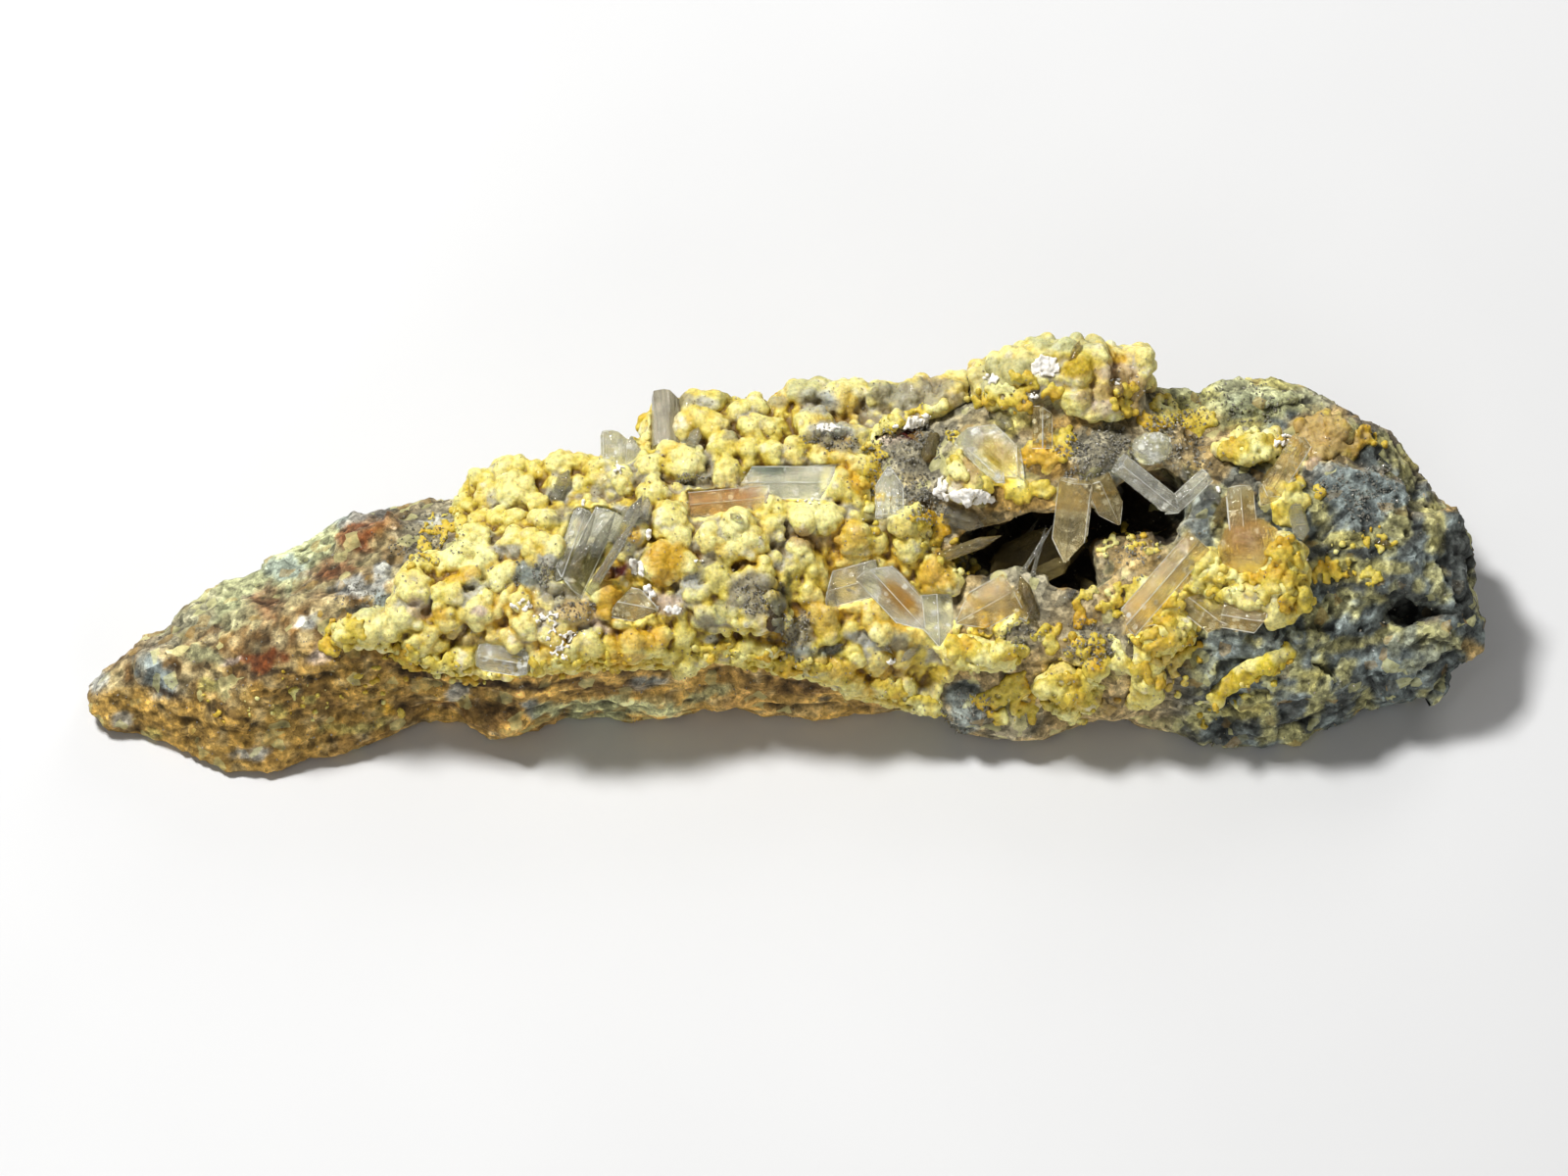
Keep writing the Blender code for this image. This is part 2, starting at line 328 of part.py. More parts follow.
def level_point(s, t, z):
    """World place, in metres, of display place (s, t) at height z over the table."""
    y = (t - z * COS_TILT) / SIN_TILT - CENTRE_Y
    return Vector((s, y, z)) * MM


def face_line(s):
    """The showy side's section at s, lower rim to upper rim, as (t, z) points."""
    lower = (table_value(LOWER_RIM, s), table_value(LOWER_HEIGHT, s))
    lines = [(table_value(line, s, 1), table_value(line, s, 2)) for line in (LEDGE, SHOULDER, CREST)]
    upper = (table_value(UPPER_RIM, s), table_value(UPPER_HEIGHT, s))
    return [lower] + lines + [upper]


def depth_of(t, z):
    """Distance out of the display plane of the place (t, z)."""
    y = (t - z * COS_TILT) / SIN_TILT
    return z * SIN_TILT - y * COS_TILT


def face_depth(s, t):
    """Distance of the bare rock out of the display plane at (s, t)."""
    line = face_line(s)
    depths = [depth_of(*point) for point in line]
    if t <= line[0][0]:
        return depths[0]
    for index in range(len(line) - 1):
        low, high = line[index][0], line[index + 1][0]
        if t <= high and high > low:
            part = (t - low) / (high - low)
            return depths[index] + part * (depths[index + 1] - depths[index])
    return depths[-1]


def plane_point(s, t, depth):
    """World place, in metres, at display place (s, t) and a depth out of the plane."""
    point = ALONG * s + UP_PLANE * t + OUT_OF_PLANE * depth
    point.y -= CENTRE_Y
    return point * MM


def plain_point(place):
    """World place of (s, t, lift), with the lift measured from the plain form of the rock."""
    s, t, lift = place
    return plane_point(s, t, face_depth(s, t) + lift)


class Seat:
    """Finds places on the finished rock, with lifts measured from its real skin."""

    def __init__(self, rock):
        bm = bmesh.new()
        bm.from_mesh(rock.data)
        self.tree = BVHTree.FromBMesh(bm)
        bm.free()

    def __call__(self, place):
        s, t, lift = place
        depth = face_depth(s, t)
        start = plane_point(s, t, RAY_START)
        distance = self.tree.ray_cast(start, -OUT_OF_PLANE)[3]
        if distance is not None:
            depth = max(RAY_START - distance / MM, depth - HOLLOW_DEPTH)
        return plane_point(s, t, depth + lift)


def frame_at(point, turn=0.0):
    """Matrix of a frame at a world point whose axes run along s, t and out, turned in the plane."""
    axes = Matrix((ALONG, UP_PLANE, OUT_OF_PLANE)).transposed()
    spin = Matrix.Rotation(math.radians(turn), 3, "Z")
    return Matrix.Translation(point) @ (axes @ spin).to_4x4()


# ------------------------------------------------------------------ mesh helpers

def new_object(name, bm, collection):
    """Turn a bmesh into an object in a collection, and free the bmesh."""
    mesh = bpy.data.meshes.new(name)
    bm.to_mesh(mesh)
    bm.free()
    obj = bpy.data.objects.new(name, mesh)
    bpy.data.collections[collection].objects.link(obj)
    return obj


def face_outwards(bm):
    """Triangulate a closed bmesh and turn all of its faces out."""
    bmesh.ops.triangulate(bm, faces=bm.faces[:])
    bmesh.ops.recalc_face_normals(bm, faces=bm.faces[:])
    if bm.calc_volume(signed=True) < 0.0:
        bmesh.ops.reverse_faces(bm, faces=bm.faces[:])


def discard(obj):
    """Remove an object and its mesh."""
    mesh = obj.data
    bpy.data.objects.remove(obj, do_unlink=True)
    bpy.data.meshes.remove(mesh)


def settle(obj):
    """Apply an object's modifiers."""
    bpy.context.view_layer.update()
    depsgraph = bpy.context.evaluated_depsgraph_get()
    mesh = bpy.data.meshes.new_from_object(obj.evaluated_get(depsgraph))
    old = obj.data
    obj.modifiers.clear()
    obj.data = mesh
    bpy.data.meshes.remove(old)


def combine(obj, other, operation):
    """Boolean of an object with another one, which is used up."""
    modifier = obj.modifiers.new("combine", "BOOLEAN")
    modifier.operation = operation
    modifier.solver = "EXACT"
    modifier.use_self = operation == "UNION"
    modifier.object = other
    settle(obj)
    discard(other)


def merged(name, bm, voxel, triangles):
    """One closed skin round all the overlapping forms of a bmesh, in about so many triangles."""
    obj = new_object(name, bm, CUTTERS)
    remesh = obj.modifiers.new("merge", "REMESH")
    remesh.mode = "VOXEL"
    remesh.voxel_size = voxel * MM
    settle(obj)
    keep_largest(obj)
    if triangles:
        decimate = obj.modifiers.new("facets", "DECIMATE")
        decimate.ratio = min(1.0, triangles / (2.0 * len(obj.data.vertices)))
        settle(obj)
    return obj


def pieces_of(bm):
    """The connected pieces of a bmesh, as lists of faces."""
    left = set(bm.faces)
    found = []
    while left:
        stack = [left.pop()]
        piece = list(stack)
        while stack:
            for edge in stack.pop().edges:
                for face in edge.link_faces:
                    if face in left:
                        left.remove(face)
                        stack.append(face)
                        piece.append(face)
        found.append(piece)
    return found


def volume_of(faces):
    """Signed volume inside a closed piece of triangles."""
    total = 0.0
    for face in faces:
        a, b, c = (vert.co for vert in face.verts)
        total += a.dot(b.cross(c)) / 6.0
    return total


def keep_largest(obj):
    """Leave only the connected piece of an object that holds the most."""
    bm = bmesh.new()
    bm.from_mesh(obj.data)
    bmesh.ops.triangulate(bm, faces=bm.faces[:])
    found = sorted(pieces_of(bm), key=volume_of)
    for piece in found[:-1]:
        bmesh.ops.delete(bm, geom=piece, context="FACES")
    bm.to_mesh(obj.data)
    bm.free()


def spare_copy(obj):
    """A copy of an object, to be used up as a cutter."""
    copy = obj.copy()
    copy.data = obj.data.copy()
    bpy.data.collections[CUTTERS].objects.link(copy)
    return copy


def folded_verts(bm):
    """Indices of the vertices of faces that cut through another face of the same skin."""
    tree = BVHTree.FromBMesh(bm)
    bm.faces.ensure_lookup_table()
    found = set()
    for first, second in tree.overlap(tree):
        corners = [{vert.index for vert in bm.faces[index].verts} for index in (first, second)]
        if not corners[0] & corners[1]:
            found |= corners[0] | corners[1]
    return found


def grown_copy(obj, margin):
    """A copy of an object with its skin moved out by a margin in millimetres, or less at a fold."""
    copy = spare_copy(obj)
    bm = bmesh.new()
    bm.from_mesh(copy.data)
    bm.normal_update()
    starts = [vert.co.copy() for vert in bm.verts]
    steps = [vert.normal * margin * MM * min(vert.calc_shell_factor(), SHELL_LIMIT) for vert in bm.verts]
    for _ in range(FOLD_TRIES):
        for vert, start, step in zip(bm.verts, starts, steps):
            vert.co = start + step
        for index in folded_verts(bm):
            steps[index] = steps[index] * 0.6
    bm.to_mesh(copy.data)
    bm.free()
    return copy


def dress(obj, colour, roughness):
    """Give an object its material, and put it with the parts."""
    material = bpy.data.materials.new(obj.name)
    material.use_nodes = True
    shader = material.node_tree.nodes["Principled BSDF"]
    shader.inputs["Base Color"].default_value = (*colour, 1.0)
    shader.inputs["Roughness"].default_value = roughness
    obj.data.materials.clear()
    obj.data.materials.append(material)
    bpy.data.collections[CUTTERS].objects.unlink(obj)
    bpy.data.collections[COLLECTION].objects.link(obj)


def add_ellipsoid(bm, point, half_sizes, detail=3, turn=0.0):
    """Add a ball squashed to three half sizes at a world point."""
    scale = Matrix.Diagonal((*[half * MM for half in half_sizes], 1.0))
    bmesh.ops.create_icosphere(bm, subdivisions=detail, radius=1.0, matrix=frame_at(point, turn) @ scale)


def add_block(bm, point, sizes, turn):
    """Add a brick of three full sizes at a world point."""
    scale = Matrix.Diagonal((*[size * MM for size in sizes], 1.0))
    bmesh.ops.create_cube(bm, size=1.0, matrix=frame_at(point, turn) @ scale)


# ------------------------------------------------------------------ matrix rock

RING_STEP = 1.2          # spacing of the rock's sections along s
BASE_POINTS = 16
WALL_POINTS = 9
FACE_POINTS = 9
BACK_POINTS = 8


def run_of(start, end, count):
    """Points from start towards end, the end left out."""
    return [start.lerp(end, index / count) for index in range(count)]


def rock_section(s):
    """One closed section of the rock at s, as world points in metres."""
    line = face_line(s)
    points = [level_point(s, t, z) for t, z in line]
    lift = table_value(BASE_LIFT, s)
    floor = (lift - BASE_DROP if lift == 0.0 else lift) * MM
    setback = max(FRONT_UNDERCUT, UNDERCUT_SLOPE * line[0][1]) * MM
    tip_share = min(1.0, (76.0 - abs(s)) / 6.0)
    front = Vector((s * MM, points[0].y + setback * tip_share, floor))
    back = Vector((s * MM, points[-1].y - 0.4 * MM * tip_share, floor))
    bulge = Vector((s * MM, points[-1].y + BACK_BULGE * MM * tip_share, 0.5 * (points[-1].z + floor)))
    runs = run_of(front, points[0], 3) + run_of(points[0], points[1], WALL_POINTS)
    for start, end in zip(points[1:], points[2:]):
        runs += run_of(start, end, FACE_POINTS)
    runs += run_of(points[-1], bulge, BACK_POINTS) + run_of(bulge, back, BACK_POINTS)
    return runs + run_of(back, front, BASE_POINTS)


def rock_loft():
    """The plain rock: a loft through its sections, closed at both tips."""
    bm = bmesh.new()
    first, last = LOWER_RIM[0][0], LOWER_RIM[-1][0]
    count = round((last - first) / RING_STEP)
    rings = []
    for index in range(count + 1):
        section = rock_section(first + (last - first) * index / count)
        rings.append([bm.verts.new(point) for point in section])
    for ring, following in zip(rings, rings[1:]):
        for index in range(len(ring)):
            after = (index + 1) % len(ring)
            bm.faces.new((ring[index], ring[after], following[after], following[index]))
    bm.faces.new(rings[0])
    bm.faces.new(rings[-1])
    face_outwards(bm)
    return bm


def roughness_at(place, normal):
    """How far, in millimetres, the broken rock stands off its plain form at a place."""
    at = place / MM
    swell = noise.noise(at / 9.0) * 0.9
    lumps = noise.noise(at / 3.6 + Vector((7.0, 3.0, 1.0))) * 0.65
    steep = 1.0 - min(1.0, abs(normal.z) / 0.75)
    beds = noise.noise(Vector((at.x / 14.0, at.y / 14.0, at.z / 1.5 + 5.0))) * 0.8 * steep
    return swell + lumps + beds


def roughen(obj):
    """Break up the rock's skin with lumps and, on its walls, beds."""
    bm = bmesh.new()
    bm.from_mesh(obj.data)
    bm.normal_update()
    moved = [(vert, vert.co + vert.normal * roughness_at(vert.co, vert.normal) * MM) for vert in bm.verts]
    for vert, place in moved:
        vert.co = place
    bm.to_mesh(obj.data)
    bm.free()


def cut_base(obj):
    """Cut the rock off flat on the table."""
    bm = bmesh.new()
    bmesh.ops.create_cube(bm, size=1.0, matrix=Matrix.Diagonal((0.2, 0.1, 0.05, 1.0)))
    bmesh.ops.translate(bm, verts=bm.verts[:], vec=(0.0, 0.0, -0.025))
    combine(obj, new_object("table_cut", bm, CUTTERS), "DIFFERENCE")


def make_rock():
    """The matrix rock, with its hollows, boulders and ledges."""
    plain = new_object("plain_rock", rock_loft(), CUTTERS)
    for place, half_sizes in HOLLOWS:
        bm = bmesh.new()
        add_ellipsoid(bm, plain_point(place), half_sizes)
        combine(plain, new_object("hollow", bm, CUTTERS), "DIFFERENCE")
    bm = bmesh.new()
    bm.from_mesh(plain.data)
    discard(plain)
    for place, half_sizes in BOULDERS:
        add_ellipsoid(bm, plain_point(place), half_sizes)
    for place, sizes, turn in BLOCKS:
        add_block(bm, plain_point(place), sizes, turn)
    rock = merged("matrix_rock", bm, VOXEL, 0)
    roughen(rock)
    decimate = rock.modifiers.new("facets", "DECIMATE")
    decimate.ratio = ROCK_TRIANGLES / (2.0 * len(rock.data.vertices))
    settle(rock)
    cut_base(rock)
    keep_largest(rock)
    return rock


# ------------------------------------------------------------------ crystals

def cut_end(bm, point, normal):
    """Cut everything beyond a plane off a convex solid, and close the cut."""
    bmesh.ops.bisect_plane(bm, geom=bm.verts[:] + bm.edges[:] + bm.faces[:], dist=1e-7,
                           plane_co=point, plane_no=normal, clear_outer=True)
    open_edges = [edge for edge in bm.edges if edge.is_boundary]
    bmesh.ops.holes_fill(bm, edges=open_edges, sides=0)


def finish_end(bm, style, side, length_way, width):
    """Give the end of an upright prism its chisel, slant or flat shape; length_way is its height."""
    tip = Vector((0.0, 0.0, length_way))
    up = math.copysign(1.0, length_way)
    if style == "slant":
        angle = math.radians(SLANT_SLOPE)
        cut_end(bm, tip - Vector((0.0, 0.0, up * 0.2 * width)),
                Vector((side * math.sin(angle), 0.3, up * math.cos(angle))))
    if style == "chisel":
        angle = math.radians(CHISEL_SLOPE)
        for lean in (-1.0, 1.0):
            cut_end(bm, tip - Vector((0.0, 0.0, up * 0.04 * width)),
                    Vector((lean * math.sin(angle), 0.12, up * math.cos(angle))))
    if style == "blunt":
        rim = [edge for edge in bm.edges if all(abs(vert.co.z - length_way) < 1e-7 for vert in edge.verts)]
        bmesh.ops.bevel(bm, geom=rim, offset=BLUNT_BEVEL * width, segments=2, profile=0.5, affect="EDGES")


def prism_mesh(prism, seat, margin=0.0):
    """A six-sided prism from its foot to its tip, as a bmesh of triangles in world metres."""
    foot, tip, width, depth, roll, foot_end, tip_end = prism
    start, end = seat(foot), seat(tip)
    axis = (end - start).normalized()
    length = (end - start).length + 2.0 * margin * MM
    across = axis.cross(OUT_OF_PLANE).normalized()
    turn = Matrix((across, axis.cross(across), axis)).transposed() @ Matrix.Rotation(math.radians(roll), 3, "Z")
    wide, deep = (width + 2.0 * margin) * MM, (depth + 2.0 * margin) * MM
    bm = bmesh.new()
    bmesh.ops.create_cone(bm, cap_ends=True, segments=6, radius1=0.5, radius2=0.5, depth=length,
                          matrix=Matrix.Diagonal((wide, deep, 1.0, 1.0)))
    finish_end(bm, foot_end, -1.0, -0.5 * length, wide)
    finish_end(bm, tip_end, 1.0, 0.5 * length, wide)
    bmesh.ops.transform(bm, verts=bm.verts[:], matrix=Matrix.Translation(0.5 * (start + end)) @ turn.to_4x4())
    face_outwards(bm)
    return bm


def knob_mesh(knob, seat, margin=0.0):
    """A rounded crystal knob with a few broad facets, as a bmesh in world metres."""
    place, half_sizes = knob
    bm = bmesh.new()
    add_ellipsoid(bm, seat(place), [half + margin for half in half_sizes], detail=2, turn=17.0)
    return bm


def joined_forms(name, prisms, knobs, seat, margin=0.0):
    """The prisms and knobs that have grown together, joined in one solid."""
    meshes = [prism_mesh(prism, seat, margin) for prism in prisms]
    meshes += [knob_mesh(knob, seat, margin) for knob in knobs]
    solid = new_object(name, meshes[0], CUTTERS)
    for mesh in meshes[1:]:
        combine(solid, new_object("form", mesh, CUTTERS), "UNION")
    return solid


def make_crystals(seat, rock_grown):
    """Every crystal group, cut off where it meets the rock."""
    crystals = []
    for name, (colour, prisms, knobs) in CRYSTALS.items():
        crystal = joined_forms(name, prisms, knobs, seat)
        combine(crystal, spare_copy(rock_grown), "DIFFERENCE")
        keep_largest(crystal)
        crystals.append((crystal, colour))
    prisms, knobs = VUG_CRYSTALS
    crystal = joined_forms("vug_crystals", prisms, knobs, plain_point)
    combine(crystal, spare_copy(rock_grown), "DIFFERENCE")
    keep_largest(crystal)
    return crystals + [(crystal, TAN_COLOUR)]


# ------------------------------------------------------------------ sulfur crusts

SHEET_TOP = 30.0         # top and bottom of the column that a sheet is cut from, out of the plane
SHEET_BOTTOM = -4.0
LUMP_RISE = 0.5          # how far a lump's centre stands off the rock, as part of its radius
CRUST_VOXEL = 0.5


def outline_column(outline):
    """The column that stands on an outline of (s, t) points, square to the display plane."""
    bm = bmesh.new()
    corners = [ALONG * s + UP_PLANE * t - Vector((0.0, CENTRE_Y, 0.0)) for s, t in outline]
    base = bm.faces.new([bm.verts.new((corner + OUT_OF_PLANE * SHEET_BOTTOM) * MM) for corner in corners])
    top = bmesh.ops.extrude_face_region(bm, geom=[base])["geom"]
    raised = [part for part in top if isinstance(part, bmesh.types.BMVert)]
    bmesh.ops.translate(bm, verts=raised, vec=OUT_OF_PLANE * (SHEET_TOP - SHEET_BOTTOM) * MM)
    face_outwards(bm)
    return bm


def add_lumps(bm, lumps, seat):
    """Add the round lumps of a crust, each sitting on the rock."""
    for s, t, radius in lumps:
        add_ellipsoid(bm, seat((s, t, LUMP_RISE * radius)), (radius, radius, radius))


def crust_form(name, outline, lumps, rise, rock, seat, triangles):
    """A crust's outer form: its lumps, and the sheet under them if it has an outline."""
    bm = bmesh.new()
    if outline:
        sheet = grown_copy(rock, rise)
        combine(sheet, new_object("column", outline_column(outline), CUTTERS), "INTERSECT")
        bm.from_mesh(sheet.data)
        discard(sheet)
    add_lumps(bm, lumps, seat)
    return merged(name, bm, CRUST_VOXEL, triangles)


# Name, outline, lumps, how far the sheet stands off the rock, and triangles of the outer form.
CRUSTS = (
    ("sulfur_crust_main", MAIN_OUTLINE, MAIN_LUMPS, 0.9, 2500),
    ("sulfur_crust_right", RIGHT_OUTLINE, RIGHT_LUMPS, 1.0, 520),
    ("sulfur_cap", CAP_OUTLINE, CAP_LUMPS, 1.7, 420),
    ("sulfur_patch_lower", (), LOWER_PATCH_LUMPS, 0.0, 130),
    ("sulfur_patch_upper", (), UPPER_PATCH_LUMPS, 0.0, 90),
    ("sulfur_knob_fringe", (), FRINGE_KNOB_LUMPS, 0.0, 110),
    ("sulfur_vein", (), VEIN_LUMPS, 0.0, 140),
)


def make_crusts(rock, seat, rock_grown):
    """Every crust, cut off on the rock and round the crystals that stand in it."""
    crusts = []
    for name, outline, lumps, rise, triangles in CRUSTS:
        crust = crust_form(name, outline, lumps, rise, rock, seat, triangles)
        combine(crust, spare_copy(rock_grown), "DIFFERENCE")
        for colour, prisms, knobs in CRYSTALS.values():
            combine(crust, joined_forms("room", prisms, knobs, seat, GAP), "DIFFERENCE")
        keep_largest(crust)
        crusts.append(crust)
    return crusts


# ------------------------------------------------------------------ the whole specimen

def clear_scene():
    """Start from an empty scene, with a collection for the parts and one for the cutters."""
    for obj in list(bpy.data.objects):
        bpy.data.objects.remove(obj, do_unlink=True)
    for name in (COLLECTION, CUTTERS):
        collection = bpy.data.collections.new(name)
        bpy.context.scene.collection.children.link(collection)


def main():
    """Build the rock, then the crystals on it, then the crusts round them."""
    clear_scene()
    rock = make_rock()
    seat = Seat(rock)
    rock_grown = grown_copy(rock, GAP)
    crystals = make_crystals(seat, rock_grown)
    crusts = make_crusts(rock, seat, rock_grown)
    discard(rock_grown)
    dress(rock, ROCK_COLOUR, 0.85)
    for crystal, colour in crystals:
        dress(crystal, colour, 0.15)
    for crust in crusts:
        dress(crust, SULFUR_COLOUR, 0.6)


main()
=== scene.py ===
"""Looks for the native sulfur specimen: fine rock, knobbly crusts, crystals, druse and powder.

Lengths are in millimetres unless a name says otherwise. Places on the showy side are (s, t), and
(s, t, lift) with the lift measured off the skin there. s runs along the specimen, and t runs up a
display plane that leans back 60 degrees from upright.
"""
import math

import bmesh
import bpy
import numpy as np
from mathutils import Matrix, Vector
from mathutils.bvhtree import BVHTree


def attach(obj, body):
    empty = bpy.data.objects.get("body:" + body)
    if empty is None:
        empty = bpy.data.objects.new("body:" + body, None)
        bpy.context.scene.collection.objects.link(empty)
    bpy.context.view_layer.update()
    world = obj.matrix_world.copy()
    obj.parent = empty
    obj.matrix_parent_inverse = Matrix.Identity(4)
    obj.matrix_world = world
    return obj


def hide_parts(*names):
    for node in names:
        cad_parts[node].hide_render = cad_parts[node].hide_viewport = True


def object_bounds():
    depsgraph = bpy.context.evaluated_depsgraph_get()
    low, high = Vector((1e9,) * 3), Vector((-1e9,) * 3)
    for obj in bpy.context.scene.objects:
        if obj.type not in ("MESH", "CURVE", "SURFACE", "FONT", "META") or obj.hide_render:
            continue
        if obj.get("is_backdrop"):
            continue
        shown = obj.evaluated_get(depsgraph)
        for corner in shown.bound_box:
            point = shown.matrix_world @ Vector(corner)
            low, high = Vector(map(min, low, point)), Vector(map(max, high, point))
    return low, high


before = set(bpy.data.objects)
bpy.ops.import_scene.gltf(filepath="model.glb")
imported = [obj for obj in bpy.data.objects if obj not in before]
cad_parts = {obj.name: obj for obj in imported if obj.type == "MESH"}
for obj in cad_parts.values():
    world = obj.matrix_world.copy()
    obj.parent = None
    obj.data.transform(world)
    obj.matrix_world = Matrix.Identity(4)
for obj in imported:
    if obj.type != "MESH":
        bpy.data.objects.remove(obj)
CAD_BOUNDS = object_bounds()

MM = 0.001
DISPLAY_TILT = math.radians(60.0)
SIN_TILT = math.sin(DISPLAY_TILT)
COS_TILT = math.cos(DISPLAY_TILT)
ALONG = np.array((1.0, 0.0, 0.0))
UP_PLANE = np.array((0.0, SIN_TILT, COS_TILT))
OUT_OF_PLANE = np.array((0.0, -COS_TILT, SIN_TILT))
CENTRE_Y = 19.4          # y of the display plane's foot behind the frame's origin
RAY_START = 60.0         # where rays start: this far out of the plane, or beside the specimen
RANDOM = np.random.default_rng(20231)
FLANK_SEED = 7411        # for the lumps on the crusts' rear faces, which have draws of their own
GOLDEN_ANGLE = 2.399963  # turn from one granule to the next that spreads them evenly over a head

ROCK_VOXEL = 0.43        # voxel sizes of the remeshed skins
CRUST_VOXEL = 0.257
CRUMB_VOXEL = 0.23
POWDER_VOXEL = 0.12
ROCK_SWELL = 0.12        # how far the fine rock stands off the plain one, closing the gaps
CRUST_SWELL = 0.14       # the same for the crusts
ROCK_ROOM = 0.5          # how far the fine rock may stand out of the CAD model's box
PIECE_ROOM = 0.7         # the same for crusts, crystals and grains
COVER_REACH = 4.5        # ground within this depth under a crystal shows through it
UNCOVER_START = 2.2      # height above a crust from which buried crystal faces are looked for
UNCOVER_REACH = 3.1      # and the depth below that height down to which the crust is lowered
WIDE_ROUNDS = 90         # rounds of averaging that leave only a crust's broad form

SHARP_ANGLE = math.radians(28.0)    # crystal edges sharper than this are bevelled and catch light
FLAWS_EACH = 44          # flaws tried in each crystal node
REAR_GRANULES = 1500     # granules tried along the crust's rear edge
GRAIN_COUNT = 2600       # glinting grains tried
GRAIN_ENDS = (-74.0, 73.0)    # ends of the showy side along s
GRAIN_LOW, GRAIN_HIGH = 1.0, 43.0    # lowest t of the grains, and how far up they reach

KEY_PLACE = (-0.27, 0.18, 0.62)    # of the key light, in metres
CAMERA_AIM = (0.16, 19.4)     # (s, t) at the middle of the picture
CAMERA_REACH = 930.0
LENS = 199.0
FLOOR_HALF = 2000.0


# ------------------------------------------------------------------ colours

def linear(code):
    """A linear colour from an sRGB code such as E0C060."""
    parts = [int(code[index:index + 2], 16) / 255.0 for index in (0, 2, 4)]
    return np.array([part / 12.92 if part < 0.04045 else ((part + 0.055) / 1.055) ** 2.4 for part in parts])


BROWN = linear("705630")
OCHRE = linear("AC8B46")
TAN = linear("B29A68")
SAND = linear("B9AA80")
DARK_BROWN = linear("3A2A18")
RUST = linear("743C16")
GREY = linear("918B76")
BLUE_GREY = linear("828B88")
DARK_GREY = linear("4D504C")
PALE_GREY = linear("A9AAA2")
PALE_GREEN = linear("B4B78C")
BLUE_GREEN = linear("9DAAA2")
OLIVE = linear("8A8445")
YELLOW = linear("C6BC70")
MOSS = linear("B7B27C")
PINK_WHITE = linear("C4B2A0")
WHITE = linear("E2DED2")
# Painted shade deep in the rock's hollows.
SHADE_BLACK = linear("140E08")
CHALK_YELLOW = linear("E9E5A2")
SULFUR = linear("CDBA4C")
GOLD = linear("C79E20")
AMBER = linear("7A5806")
DARK_RED = linear("4A0C04")
HOLLOW_SHADE = np.array((0.60, 0.68, 0.88))      # share of red, green and blue lost in a crust's hollows

# Painted light: pale and honey-coloured ground under the clear and the tan crystals, standing in for the
# light that comes back through them.
CLEAR_LIT_GROUND = linear("B9B68C")
HONEY_LIT_GROUND = linear("A8935A")
AMBER_GROUND = linear("9A7632")
# Darker or more golden parts of that painted ground: colour, centre (s, t), half sizes (s, t), turn,
# strength.
GROUND_PATCHES = (
    (AMBER_GROUND, (-6.2, 29.0), (4.6, 1.6), -4.0, 1.0),
    (AMBER_GROUND, (12.3, 18.2), (2.6, 0.8), -45.0, 0.9),
    (linear("A89A3C"), (22.6, 33.6), (2.4, 1.4), -40.0, 0.9),
    (linear("A88A40"), (27.6, 31.4), (1.6, 1.6), 0.0, 0.8),
    (linear("7E8A84"), (-3.4, 32.4), (1.8, 0.8), 0.0, 0.8),
    (linear("6E7A70"), (10.6, 20.6), (1.2, 0.7), -45.0, 0.7),
    (linear("D8D8C0"), (-18.6, 26.4), (2.2, 1.8), 0.0, 0.8),
    (linear("7C6A3C"), (-19.6, 22.0), (1.6, 2.4), 20.0, 0.6),
    (linear("8A6A34"), (48.6, 25.4), (1.8, 1.8), 0.0, 0.8),
    (linear("C0B48A"), (48.2, 29.4), (1.2, 1.6), 0.0, 0.8),
)

